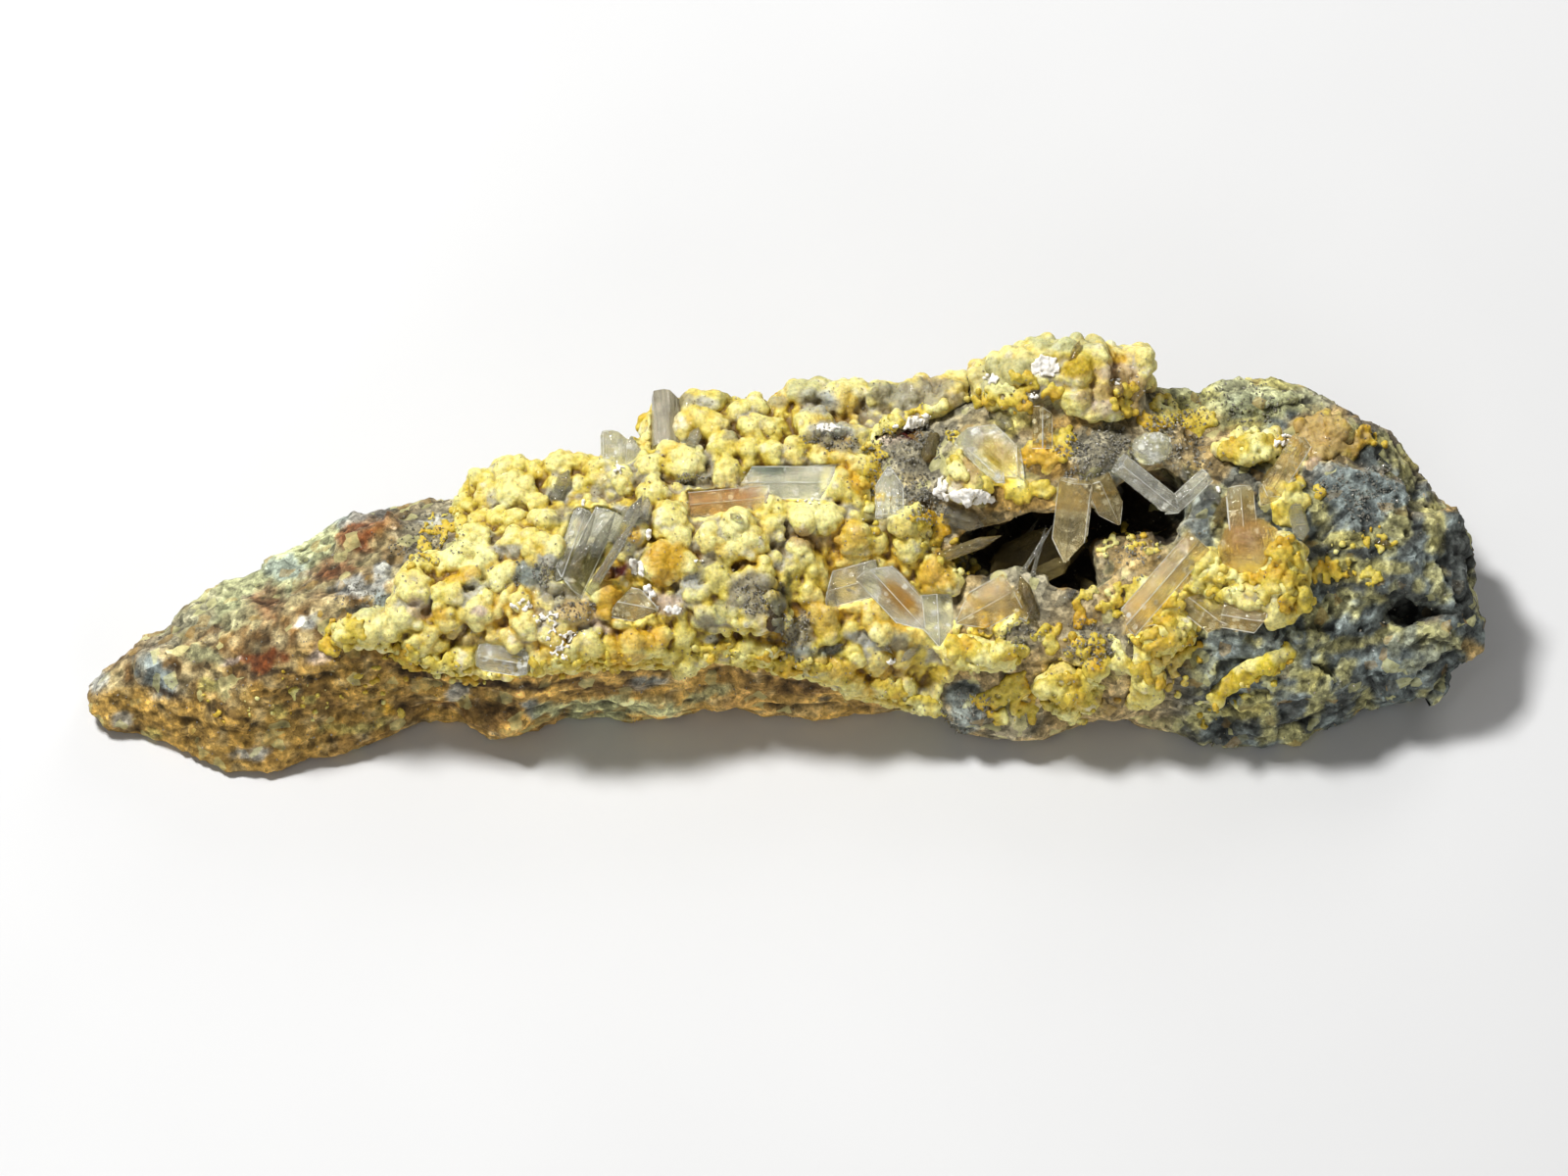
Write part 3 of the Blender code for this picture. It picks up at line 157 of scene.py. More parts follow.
# Patches of colour on the rock: colour, centre (s, t), half sizes (s, t), turn in degrees, strength.
ROCK_PATCHES = (
    (PALE_GREEN, (-58.0, 19.6), (9.5, 1.7), 29.0, 0.85),
    (PALE_GREEN, (-51.0, 23.0), (4.8, 2.4), 38.0, 0.95),
    (BLUE_GREEN, (-45.6, 27.8), (3.4, 1.5), 15.0, 0.9),
    (BLUE_GREEN, (-53.0, 21.2), (2.6, 1.2), 10.0, 0.7),
    (PALE_GREY, (-73.6, 9.0), (1.3, 1.2), 0.0, 0.8),
    (OCHRE, (-73.6, 7.6), (1.8, 0.8), 0.0, 0.7),
    (GREY, (-64.5, 15.2), (5.0, 1.5), 38.0, 0.7),
    (BLUE_GREY, (-67.0, 9.7), (2.6, 1.6), -32.0, 0.95),
    (DARK_BROWN, (-66.0, 8.0), (3.6, 0.28), -27.0, 0.9),
    (DARK_BROWN, (-60.0, 6.3), (4.4, 0.3), -20.0, 0.7),
    (DARK_BROWN, (-55.5, 10.2), (7.0, 0.35), -3.0, 0.8),
    (RUST, (-55.4, 11.5), (3.2, 0.9), -3.0, 0.9),
    (RUST, (-45.5, 24.6), (2.2, 1.3), 0.0, 0.8),
    (RUST, (-48.2, 21.2), (2.3, 1.2), 0.0, 0.6),
    (RUST, (-55.6, 17.2), (1.7, 2.0), 0.0, 0.5),
    (RUST, (-43.5, 26.8), (4.0, 1.2), 0.0, 0.4),
    (DARK_BROWN, (-39.6, 21.6), (1.4, 0.9), 0.0, 0.8),
    (PINK_WHITE, (-58.7, 11.6), (0.8, 0.6), 0.0, 0.8),
    (PINK_WHITE, (-49.0, 12.8), (1.8, 0.9), 20.0, 0.9),
    (PINK_WHITE, (-46.8, 14.0), (1.6, 0.7), 20.0, 0.8),
    (PALE_GREEN, (-61.6, 12.2), (2.0, 0.9), 0.0, 0.6),
    (PALE_GREEN, (-57.5, 16.2), (2.8, 1.1), 0.0, 0.45),
    (PALE_GREY, (-50.6, 15.4), (1.3, 0.7), 20.0, 0.9),
    (PALE_GREY, (-42.4, 20.8), (0.9, 1.2), 0.0, 0.9),
    (PALE_GREY, (-44.4, 18.8), (3.2, 1.0), -12.0, 0.85),
    (BLUE_GREY, (-42.2, 18.0), (1.6, 1.0), 0.0, 0.8),
    (DARK_GREY, (-45.8, 16.8), (1.8, 0.45), 18.0, 0.8),
    (GREY, (-37.6, 24.6), (3.6, 3.4), 0.0, 0.75),
    (PALE_GREY, (-37.2, 26.4), (1.6, 0.8), 0.0, 0.7),
    (PALE_GREY, (-56.4, 1.5), (2.0, 0.8), 0.0, 0.75),
    (PALE_GREY, (-71.2, 5.6), (1.0, 0.8), 0.0, 0.7),
    (YELLOW, (-53.6, 6.2), (1.0, 0.8), 0.0, 0.6),
    (YELLOW, (-50.2, 7.8), (0.7, 0.5), 0.0, 0.6),
    (YELLOW, (-61.2, 8.6), (1.1, 0.7), 0.0, 0.7),
    (YELLOW, (-46.0, 4.6), (3.0, 0.6), 8.0, 0.6),
    (YELLOW, (-67.4, 3.8), (1.0, 0.5), 0.0, 0.6),
    (GOLD, (-42.6, 6.4), (1.2, 0.7), 0.0, 0.55),
    (BROWN, (-42.6, 12.4), (3.2, 1.0), 0.0, 0.6),
    (DARK_BROWN, (-38.6, 11.0), (3.4, 0.5), -14.0, 0.9),
    (DARK_BROWN, (-30.5, 9.3), (5.4, 0.55), 0.0, 0.95),
    (DARK_BROWN, (-20.0, 9.4), (7.0, 0.4), 3.0, 0.8),
    (DARK_BROWN, (-15.0, 11.2), (3.2, 0.6), 8.0, 0.9),
    (PALE_GREY, (-35.0, 8.5), (1.1, 0.9), 0.0, 0.8),
    (BROWN, (-31.2, 6.2), (3.0, 1.8), 0.0, 0.8),
    (RUST, (-36.4, 7.2), (1.8, 0.5), 0.0, 0.5),
    (BLUE_GREY, (-27.0, 7.0), (1.3, 1.3), 0.0, 0.85),
    (BLUE_GREY, (-14.4, 9.4), (2.2, 0.9), 0.0, 0.85),
    (PALE_GREEN, (-18.6, 6.7), (6.8, 1.1), 2.0, 0.9),
    (PALE_GREEN, (-8.0, 8.2), (2.6, 0.7), 18.0, 0.7),
    (BROWN, (-19.0, 9.0), (6.0, 0.9), 2.0, 0.5),
    (BROWN, (1.4, 9.0), (4.4, 1.0), -4.0, 0.8),
    (TAN, (2.4, 6.5), (3.8, 0.7), 0.0, 0.8),
    (DARK_GREY, (4.6, 7.4), (1.0, 0.4), 0.0, 0.8),
    (GREY, (12.6, 33.0), (4.0, 4.4), 0.0, 0.95),
    (PINK_WHITE, (11.4, 36.2), (2.2, 1.2), 20.0, 0.8),
    (SAND, (13.8, 30.6), (2.2, 1.4), -20.0, 0.7),
    (SAND, (22.0, 36.6), (4.6, 1.6), 10.0, 0.7),
    (SAND, (29.0, 37.2), (3.6, 1.4), 0.0, 0.7),
    (YELLOW, (24.6, 37.0), (2.4, 1.2), 0.0, 0.7),
    (OCHRE, (28.4, 32.6), (2.6, 2.4), 0.0, 0.9),
    (OCHRE, (24.4, 29.4), (4.6, 1.8), 0.0, 0.8),
    (YELLOW, (19.8, 32.4), (2.6, 2.0), 0.0, 0.8),
    (OCHRE, (30.4, 36.6), (3.0, 1.6), 0.0, 0.7),
    (GREY, (14.2, 28.4), (3.2, 2.2), 0.0, 0.9),
    (GREY, (17.0, 26.0), (2.0, 2.4), 0.0, 0.85),
    (GREY, (17.2, 35.2), (2.4, 2.0), 0.0, 0.9),
    (PINK_WHITE, (13.4, 38.0), (1.8, 0.8), 10.0, 0.8),
    (DARK_RED, (13.7, 36.2), (1.1, 0.8), 20.0, 1.0),
    (GREY, (33.4, 33.4), (3.8, 3.4), 0.0, 0.95),
    (BLUE_GREY, (34.6, 31.6), (1.8, 1.3), 0.0, 0.6),
    (GREY, (16.6, 11.0), (2.2, 2.4), -40.0, 0.8),
    (BLUE_GREY, (19.6, 6.8), (2.3, 2.6), 0.0, 0.9),
    (DARK_GREY, (19.2, 8.6), (1.0, 0.4), 0.0, 0.6),
    (GREY, (24.8, 5.2), (3.6, 1.8), 0.0, 0.8),
    (YELLOW, (21.4, 12.6), (3.8, 1.3), 0.0, 0.85),
    (GREY, (25.4, 14.4), (1.9, 1.2), 0.0, 0.7),
    (GREY, (33.6, 13.2), (3.2, 2.4), 0.0, 0.75),
    (YELLOW, (24.0, 8.2), (2.0, 1.8), 0.0, 0.6),
    (YELLOW, (30.6, 9.0), (3.8, 2.4), 0.0, 0.75),
    (TAN, (36.4, 18.6), (2.6, 2.2), 0.0, 0.75),
    (TAN, (36.8, 23.0), (3.4, 2.0), 0.0, 0.8),
    (PALE_GREEN, (49.0, 40.0), (8.6, 2.0), -4.0, 0.6),
    (OLIVE, (44.0, 39.4), (2.6, 1.0), 10.0, 0.6),
    (YELLOW, (52.4, 41.2), (3.4, 0.7), -8.0, 0.65),
    (YELLOW, (50.2, 36.8), (2.6, 1.0), 0.0, 0.55),
    (TAN, (44.6, 34.8), (3.4, 3.4), 0.0, 0.7),
    (TAN, (57.6, 35.6), (4.0, 2.6), -20.0, 0.8),
    (YELLOW, (62.0, 35.6), (3.0, 1.0), -15.0, 0.55),
    (BLUE_GREY, (61.6, 29.8), (5.0, 3.0), 0.0, 0.9),
    (YELLOW, (57.4, 27.6), (1.2, 2.4), 20.0, 0.55),
    (YELLOW, (66.6, 32.8), (1.6, 1.6), 0.0, 0.45),
    (DARK_GREY, (67.6, 16.8), (3.4, 1.4), 0.0, 0.9),
    (YELLOW, (58.8, 21.4), (2.6, 1.5), 0.0, 0.7),
    (YELLOW, (60.6, 24.8), (2.4, 0.8), 10.0, 0.55),
    (YELLOW, (49.6, 6.6), (3.4, 1.0), 20.0, 0.65),
    (YELLOW, (56.4, 10.4), (2.6, 1.0), 30.0, 0.6),
    (YELLOW, (61.4, 13.6), (3.8, 0.8), 12.0, 0.5),
    (YELLOW, (65.4, 21.8), (2.4, 0.7), -10.0, 0.45),
    (YELLOW, (69.6, 25.8), (0.9, 2.6), 10.0, 0.45),
    (BLUE_GREY, (46.6, 12.2), (3.0, 2.4), 0.0, 0.6),
    (BLUE_GREY, (66.2, 12.0), (4.4, 2.2), 0.0, 0.6),
    (DARK_GREY, (72.4, 20.6), (1.5, 7.6), 6.0, 0.8),
    (TAN, (74.0, 12.8), (1.4, 1.2), 0.0, 0.9),
    (OCHRE, (71.6, 28.2), (1.0, 0.8), 0.0, 0.5),
)
# Patches of colour on the crusts, in the same form.
CRUST_PATCHES = (
    (CHALK_YELLOW, (-42.6, 15.4), (3.2, 1.2), 10.0, 0.8),
    (PALE_GREEN, (-44.0, 17.0), (1.8, 0.8), 15.0, 0.6),
    (CHALK_YELLOW, (-34.0, 23.2), (3.2, 1.6), 0.0, 0.9),
    (CHALK_YELLOW, (-29.0, 29.6), (2.4, 1.8), 0.0, 0.7),
    (CHALK_YELLOW, (-30.6, 20.2), (2.2, 1.4), 0.0, 0.7),
    (GOLD, (-37.0, 16.4), (1.6, 0.7), 0.0, 0.8),
    (GOLD, (-34.2, 20.8), (2.0, 0.7), 0.0, 0.7),
    (PALE_GREY, (-32.6, 19.2), (1.9, 0.8), 15.0, 0.85),
    (PINK_WHITE, (-38.4, 17.2), (1.0, 1.2), 30.0, 0.7),
    (PINK_WHITE, (-32.2, 16.8), (0.6, 0.5), 0.0, 0.9),
    (TAN, (-33.4, 13.8), (2.4, 0.8), 0.0, 0.7),
    (PALE_GREY, (-29.2, 23.2), (1.5, 0.6), 0.0, 0.85),
    (BLUE_GREY, (-26.4, 20.6), (2.3, 1.7), -15.0, 0.95),
    (PALE_GREY, (-25.0, 22.2), (1.5, 0.7), -25.0, 0.9),
    (GREY, (-23.0, 18.4), (2.6, 1.3), -20.0, 0.85),
    (TAN, (-21.4, 16.6), (2.2, 1.4), -20.0, 0.9),
    (PINK_WHITE, (-19.2, 15.0), (1.6, 0.6), -20.0, 0.85),
    (PALE_GREY, (-23.6, 29.8), (1.6, 1.0), 0.0, 0.8),
    (GREY, (-23.2, 27.2), (1.9, 0.9), 0.0, 0.8),
    (PALE_GREY, (-15.8, 27.2), (2.2, 0.8), -10.0, 0.9),
    (GREY, (-16.6, 24.2), (1.5, 1.1), 0.0, 0.7),
    (GOLD, (-13.0, 22.4), (2.2, 2.2), 0.0, 0.9),
    (GOLD, (-16.0, 25.2), (0.9, 0.9), 0.0, 0.8),
    (GOLD, (-18.2, 17.8), (1.4, 2.0), 0.0, 0.85),
    (GOLD, (-15.2, 14.0), (3.2, 1.2), 0.0, 0.7),
    (GOLD, (-17.6, 11.8), (2.4, 0.7), 0.0, 0.7),
    (DARK_RED, (-17.6, 21.2), (1.2, 0.9), 0.0, 1.0),
    (AMBER, (-18.6, 20.4), (1.4, 1.3), 0.0, 0.6),
    (PINK_WHITE, (-12.6, 17.6), (2.2, 1.1), -12.0, 0.95),
    (PALE_GREY, (-9.8, 19.6), (1.5, 1.1), 0.0, 0.9),
    (GREY, (-8.2, 16.2), (1.6, 1.1), -30.0, 0.85),
    (PALE_GREY, (-8.0, 13.8), (1.2, 0.5), 0.0, 0.8),
    (PALE_GREEN, (-6.4, 17.0), (1.4, 1.0), 0.0, 0.6),
    (YELLOW, (-6.9, 20.4), (1.6, 1.8), 0.0, 0.7),
    (GREY, (-3.2, 18.6), (2.2, 2.6), 0.0, 0.95),
    (DARK_GREY, (-0.8, 16.6), (0.8, 2.8), -8.0, 0.85),
    (GREY, (1.8, 14.6), (1.5, 2.2), -10.0, 0.9),
    (BLUE_GREY, (2.2, 12.6), (2.4, 0.8), 0.0, 0.7),
    (BLUE_GREY, (5.0, 12.9), (1.1, 0.5), 0.0, 0.8),
    (PALE_GREY, (8.2, 14.4), (1.8, 0.8), -28.0, 0.95),
    (OLIVE, (0.5, 18.8), (0.3, 2.2), 0.0, 0.9),
    (GREY, (5.4, 35.2), (3.0, 1.0), -5.0, 0.9),
    (PALE_GREY, (5.2, 36.4), (2.8, 0.6), -5.0, 0.9),
    (BLUE_GREY, (4.4, 39.2), (0.9, 1.2), 0.0, 0.7),
    (GREY, (-9.6, 31.0), (2.0, 0.9), -4.0, 0.85),
    (PALE_GREY, (-9.8, 34.9), (1.1, 0.5), 0.0, 0.9),
    (GREY, (-7.6, 33.0), (0.7, 1.0), 0.0, 0.8),
    (PALE_GREY, (-8.2, 39.2), (1.1, 0.6), -20.0, 0.8),
    (GREY, (-5.6, 36.0), (0.9, 0.6), 0.0, 0.7),
    (OLIVE, (-6.2, 39.6), (0.9, 0.7), 0.0, 0.6),
    (GREY, (-11.4, 39.6), (2.2, 0.9), 0.0, 0.8),
    (GREY, (-0.6, 39.4), (1.2, 0.7), 0.0, 0.7),
    (CHALK_YELLOW, (3.6, 27.2), (2.6, 1.5), 0.0, 0.7),
    (CHALK_YELLOW, (-4.6, 25.2), (2.0, 1.6), 0.0, 0.8),
    (CHALK_YELLOW, (-10.2, 32.9), (2.0, 1.7), 0.0, 0.7),
    (TAN, (4.0, 24.4), (2.6, 0.8), -5.0, 0.85),
    (TAN, (2.0, 24.6), (1.2, 1.0), 0.0, 0.7),
    (GOLD, (7.4, 24.8), (1.8, 1.6), 0.0, 0.6),
    (GOLD, (8.0, 30.4), (0.7, 2.0), 20.0, 0.9),
    (GOLD, (6.8, 39.0), (1.5, 1.6), 0.0, 0.5),
    (GOLD, (5.8, 11.0), (3.6, 0.9), -18.0, 0.6),
    (GOLD, (16.4, 20.8), (2.2, 2.2), 0.0, 0.75),
    (GOLD, (4.4, 16.2), (1.8, 1.8), 0.0, 0.5),
    (PALE_GREEN, (2.6, 41.0), (2.2, 1.2), 0.0, 0.7),
    (PALE_GREEN, (11.6, 39.8), (2.8, 1.4), 0.0, 0.75),
    (GREY, (16.4, 41.2), (2.6, 0.8), 0.0, 0.7),
    (PINK_WHITE, (14.6, 38.2), (2.2, 0.9), 10.0, 0.8),
    (GREY, (10.4, 26.4), (1.5, 1.2), 0.0, 0.7),
    (GREY, (12.6, 13.4), (1.2, 1.1), -30.0, 0.8),
    (TAN, (11.8, 10.4), (1.5, 0.6), -30.0, 0.6),
    (PALE_GREEN, (24.0, 42.6), (2.8, 1.4), 0.0, 0.75),
    (PALE_GREY, (22.6, 41.2), (1.8, 0.9), 0.0, 0.75),
    (WHITE, (28.0, 42.6), (1.4, 1.0), 0.0, 0.9),
    (GOLD, (31.0, 42.8), (1.5, 1.2), 0.0, 0.8),
    (TAN, (34.8, 40.0), (3.4, 1.4), 0.0, 0.75),
    (PINK_WHITE, (35.8, 42.4), (2.6, 1.0), 0.0, 0.7),
    (PINK_WHITE, (25.4, 40.0), (2.6, 0.8), 0.0, 0.7),
    (TAN, (19.6, 31.6), (1.6, 1.3), 0.0, 0.9),
    (WHITE, (20.0, 29.4), (2.6, 0.7), 0.0, 0.9),
    (MOSS, (23.6, 42.4), (4.0, 1.8), 20.0, 0.75),
    (PALE_GREEN, (29.6, 45.6), (5.0, 0.9), -5.0, 0.7),
    (linear("B8A020"), (30.8, 43.2), (1.8, 1.3), 0.0, 0.85),
    (TAN, (36.6, 40.2), (2.6, 2.6), 0.0, 0.85),
    (GREY, (26.2, 39.6), (3.4, 1.1), 0.0, 0.8),
    (PINK_WHITE, (34.4, 38.6), (1.6, 1.0), 0.0, 0.7),
    (PALE_GREY, (3.8, 39.0), (2.2, 1.2), 0.0, 0.7),
    (GREY, (13.2, 39.8), (4.4, 1.7), 5.0, 0.85),
    (linear("D2C030"), (50.6, 11.2), (6.0, 2.4), 32.0, 0.9),
    (linear("B49C28"), (48.0, 9.6), (2.4, 0.9), 32.0, 0.7),
    (linear("E4DC98"), (49.6, 11.4), (1.6, 0.7), 32.0, 0.8),
    (MOSS, (52.6, 12.6), (1.1, 1.3), 20.0, 0.8),
    (BLUE_GREY, (54.6, 13.4), (1.0, 0.9), 0.0, 0.8),
)


# Round heads of the crusts, as (s, t, radius).
MAIN_BALLS = (
    (-46.3, 14.6, 1.5), (-44.3, 15.1, 1.8), (-42.3, 15.3, 1.7), (-40.2, 16.6, 1.9), (-39.2, 19.3, 2.1),
    (-38.0, 14.7, 1.8), (-39.2, 13.3, 1.4), (-37.3, 12.2, 1.3), (-38.6, 21.3, 1.5), (-36.5, 21.6, 1.7),
    (-34.9, 22.1, 1.5), (-35.5, 18.6, 2.0), (-35.6, 16.3, 1.8), (-36.8, 13.6, 1.3), (-35.3, 11.8, 1.2),
    (-33.8, 12.1, 1.4), (-32.1, 17.2, 2.1), (-30.4, 14.7, 1.2), (-33.2, 20.6, 1.5), (-32.6, 24.0, 2.2),
    (-31.2, 22.3, 1.7), (-29.8, 20.6, 1.6), (-28.2, 24.1, 1.6), (-26.4, 23.7, 1.6), (-24.3, 23.2, 1.4),
    (-32.0, 26.4, 1.5), (-30.2, 26.2, 1.8), (-28.3, 26.2, 1.5), (-33.4, 28.0, 1.6), (-31.0, 28.6, 2.1),
    (-28.5, 29.3, 2.5), (-26.2, 28.2, 1.5), (-31.8, 30.4, 1.9), (-29.8, 31.7, 1.6), (-28.3, 32.0, 1.3),
    (-26.3, 31.0, 1.6), (-25.2, 26.3, 1.7), (-24.0, 30.0, 1.6), (-23.6, 32.3, 1.9), (-21.8, 32.3, 1.7),
    (-21.6, 30.0, 1.6), (-19.2, 31.4, 2.2), (-17.2, 30.7, 1.8), (-15.8, 33.1, 1.7), (-14.0, 31.8, 1.9),
    (-13.8, 29.3, 1.7), (-12.0, 33.6, 1.5), (-15.6, 25.1, 1.5), (-11.9, 26.4, 1.9), (-11.2, 24.4, 1.7),
    (-13.1, 21.8, 2.2), (-10.3, 21.9, 1.7), (-19.2, 18.6, 1.5), (-17.8, 16.9, 1.4), (-25.3, 17.9, 1.5),
    (-27.6, 17.8, 1.6), (-29.2, 17.8, 1.5), (-27.0, 15.4, 1.7), (-24.5, 14.6, 1.6), (-28.4, 13.9, 1.3),
    (-25.6, 12.2, 1.7), (-22.6, 12.6, 1.7), (-20.6, 14.0, 1.7), (-18.4, 13.2, 1.8), (-16.0, 13.5, 1.9),
    (-13.8, 13.7, 1.7), (-12.2, 12.7, 1.5), (-10.6, 14.4, 1.6), (-10.3, 11.8, 1.7), (-8.4, 12.9, 1.5),
    (-5.8, 13.5, 1.4), (-3.8, 13.4, 1.5), (-1.8, 13.0, 1.4), (-10.2, 32.6, 2.3), (-9.0, 37.2, 1.9),
    (-10.6, 36.2, 1.6), (-9.4, 39.2, 1.6), (-7.3, 38.9, 1.7), (-7.1, 36.3, 1.7), (-6.4, 34.2, 1.8),
    (-6.1, 31.6, 1.7), (-4.5, 37.9, 1.5), (-3.0, 38.4, 1.5), (-3.2, 36.2, 1.7), (-1.5, 36.3, 1.5),
    (-3.7, 34.0, 1.5), (-1.2, 33.9, 1.5), (1.3, 33.8, 1.6), (3.1, 37.0, 1.9), (1.6, 40.2, 1.6),
    (3.8, 40.4, 1.5), (6.3, 39.6, 2.1), (7.9, 40.3, 1.5), (4.3, 33.6, 1.4), (6.5, 33.1, 1.8),
    (8.0, 32.2, 1.5), (5.7, 30.2, 1.8), (7.6, 29.8, 1.4), (2.5, 26.9, 1.8), (4.4, 26.6, 1.9),
    (7.2, 26.9, 1.5), (7.6, 24.8, 2.0), (9.6, 24.4, 1.5), (6.8, 21.7, 1.3), (-1.6, 28.0, 1.6),
    (-1.6, 25.6, 1.7), (-0.3, 27.2, 1.3), (-4.9, 25.9, 1.8), (-3.6, 24.1, 2.0), (-5.9, 23.6, 1.5),
    (-7.6, 24.5, 1.6), (-7.0, 20.4, 1.9), (-1.7, 22.2, 1.5), (0.2, 21.6, 1.6), (1.6, 23.2, 1.6),
    (3.0, 21.3, 1.6), (2.6, 18.9, 1.5), (4.2, 16.9, 1.7), (4.9, 14.8, 1.4), (-8.0, 16.9, 1.3),
    (3.4, 11.7, 1.5), (5.4, 11.1, 1.7), (7.5, 9.6, 1.7), (7.6, 12.3, 1.7), (9.8, 12.0, 1.6),
    (10.6, 9.5, 1.6), (12.8, 9.0, 1.7), (15.0, 7.6, 1.5), (12.6, 12.0, 1.3), (18.3, 12.9, 1.6),
    (20.9, 12.6, 1.3), (23.3, 12.4, 1.4), (12.8, 26.3, 1.5), (13.4, 24.0, 1.7), (16.0, 21.1, 1.7),
    (17.6, 20.2, 1.3), (10.2, 14.6, 1.2), (-14.2, 18.9, 1.3), (-12.3, 18.0, 1.5), (-11.0, 17.2, 1.2),
    (10.4, 40.0, 1.5), (12.6, 38.8, 1.4), (14.6, 40.4, 1.5), (16.4, 39.0, 1.4), (18.2, 40.4, 1.5),
)
RIGHT_BALLS = (
    (39.3, 18.2, 1.5), (41.4, 17.8, 1.6), (40.4, 14.4, 2.0), (42.4, 15.6, 1.3), (38.8, 12.2, 1.3),
    (38.6, 9.8, 1.3), (38.9, 8.0, 1.2), (44.8, 22.2, 1.7), (45.6, 20.6, 1.7), (43.4, 20.6, 1.4),
    (47.2, 20.6, 1.6), (48.8, 19.0, 1.4), (52.8, 23.3, 1.9), (54.0, 21.8, 1.6), (51.9, 21.4, 1.4),
    (52.5, 19.3, 1.7), (52.0, 17.0, 1.4), (54.6, 18.4, 1.3),
)
CAP_BALLS = (
    (21.6, 41.8, 1.5), (24.4, 43.6, 1.5), (27.4, 44.4, 1.5), (29.8, 44.3, 1.5), (31.2, 42.2, 1.7),
    (31.3, 39.6, 1.7), (34.4, 43.4, 1.4), (35.6, 41.6, 1.8), (37.2, 42.9, 1.3), (25.6, 39.6, 1.3),
    (34.2, 38.8, 1.3), (22.8, 39.8, 1.4),
)
LOWER_BALLS = (
    (28.2, 9.2, 1.3), (29.8, 10.0, 1.5), (31.0, 8.6, 1.6), (32.6, 8.0, 1.4), (30.2, 6.9, 1.3),
    (33.2, 11.2, 1.3), (32.2, 9.9, 1.2),
)

# Rear and end faces of crusts that lumps break up: way the face looks, range along it, range of
# depth out of the plane, and number of lumps tried.
FLANKS = {
    "sulfur_crust_main": ((UP_PLANE, (-34.0, 24.0), (-3.7, 1.6), 190),),
    "sulfur_cap": ((UP_PLANE, (20.5, 39.0), (-3.7, 7.0), 110), (ALONG, (37.6, 45.0), (-3.7, 7.0), 60)),
}
# Knobs that sit on the rock apart from the crusts, as (s, t, radius).
LOOSE_KNOBS = (
    (53.4, 28.4, 1.3), (52.8, 26.9, 1.1), (55.2, 28.4, 1.1), (53.9, 29.7, 1.0), (57.0, 35.6, 1.5),
    (58.6, 34.6, 1.3), (60.4, 33.6, 1.3), (58.0, 37.0, 1.2), (44.3, 36.1, 1.2), (43.6, 37.5, 1.1),
    (45.2, 37.7, 1.0), (26.0, 33.7, 1.1), (27.6, 33.4, 1.2), (28.3, 32.2, 1.0), (-14.7, 27.0, 0.9),
    (56.5, 32.1, 1.1), (35.0, 6.8, 1.2), (-49.0, 16.5, 0.7), (-63.0, 4.4, 0.7), (-41.0, 6.3, 0.6),
    (49.6, 34.9, 1.0), (51.4, 34.1, 1.1), (48.0, 34.2, 0.9), (-45.2, 10.2, 0.6), (-52.2, 8.6, 0.6),
    (14.6, 26.2, 1.0), (16.0, 24.6, 1.1), (36.4, 11.4, 1.1), (35.6, 13.4, 1.0), (24.2, 8.6, 1.1),
    (26.4, 6.8, 1.1),
)
# Colours of some of those knobs: colour, centre (s, t), half sizes (s, t), turn, strength.
LOOSE_TINTS = (
    (TAN, (57.8, 35.4), (4.2, 3.2), -10.0, 0.85), (TAN, (35.0, 6.8), (1.7, 1.7), 0.0, 0.9),
    (PINK_WHITE, (56.5, 32.1), (1.4, 1.4), 0.0, 0.8), (WHITE, (-14.7, 27.0), (1.4, 1.4), 0.0, 0.8),
    (OCHRE, (-49.0, 16.5), (1.1, 1.1), 0.0, 0.7), (OCHRE, (-63.0, 4.4), (1.1, 1.1), 0.0, 0.7),
    (GOLD, (27.2, 33.0), (2.8, 2.0), 0.0, 0.8), (GOLD, (49.0, 11.6), (5.0, 2.4), 30.0, 0.5),
    (GOLD, (40.4, 12.0), (2.6, 4.0), 0.0, 0.5),
)
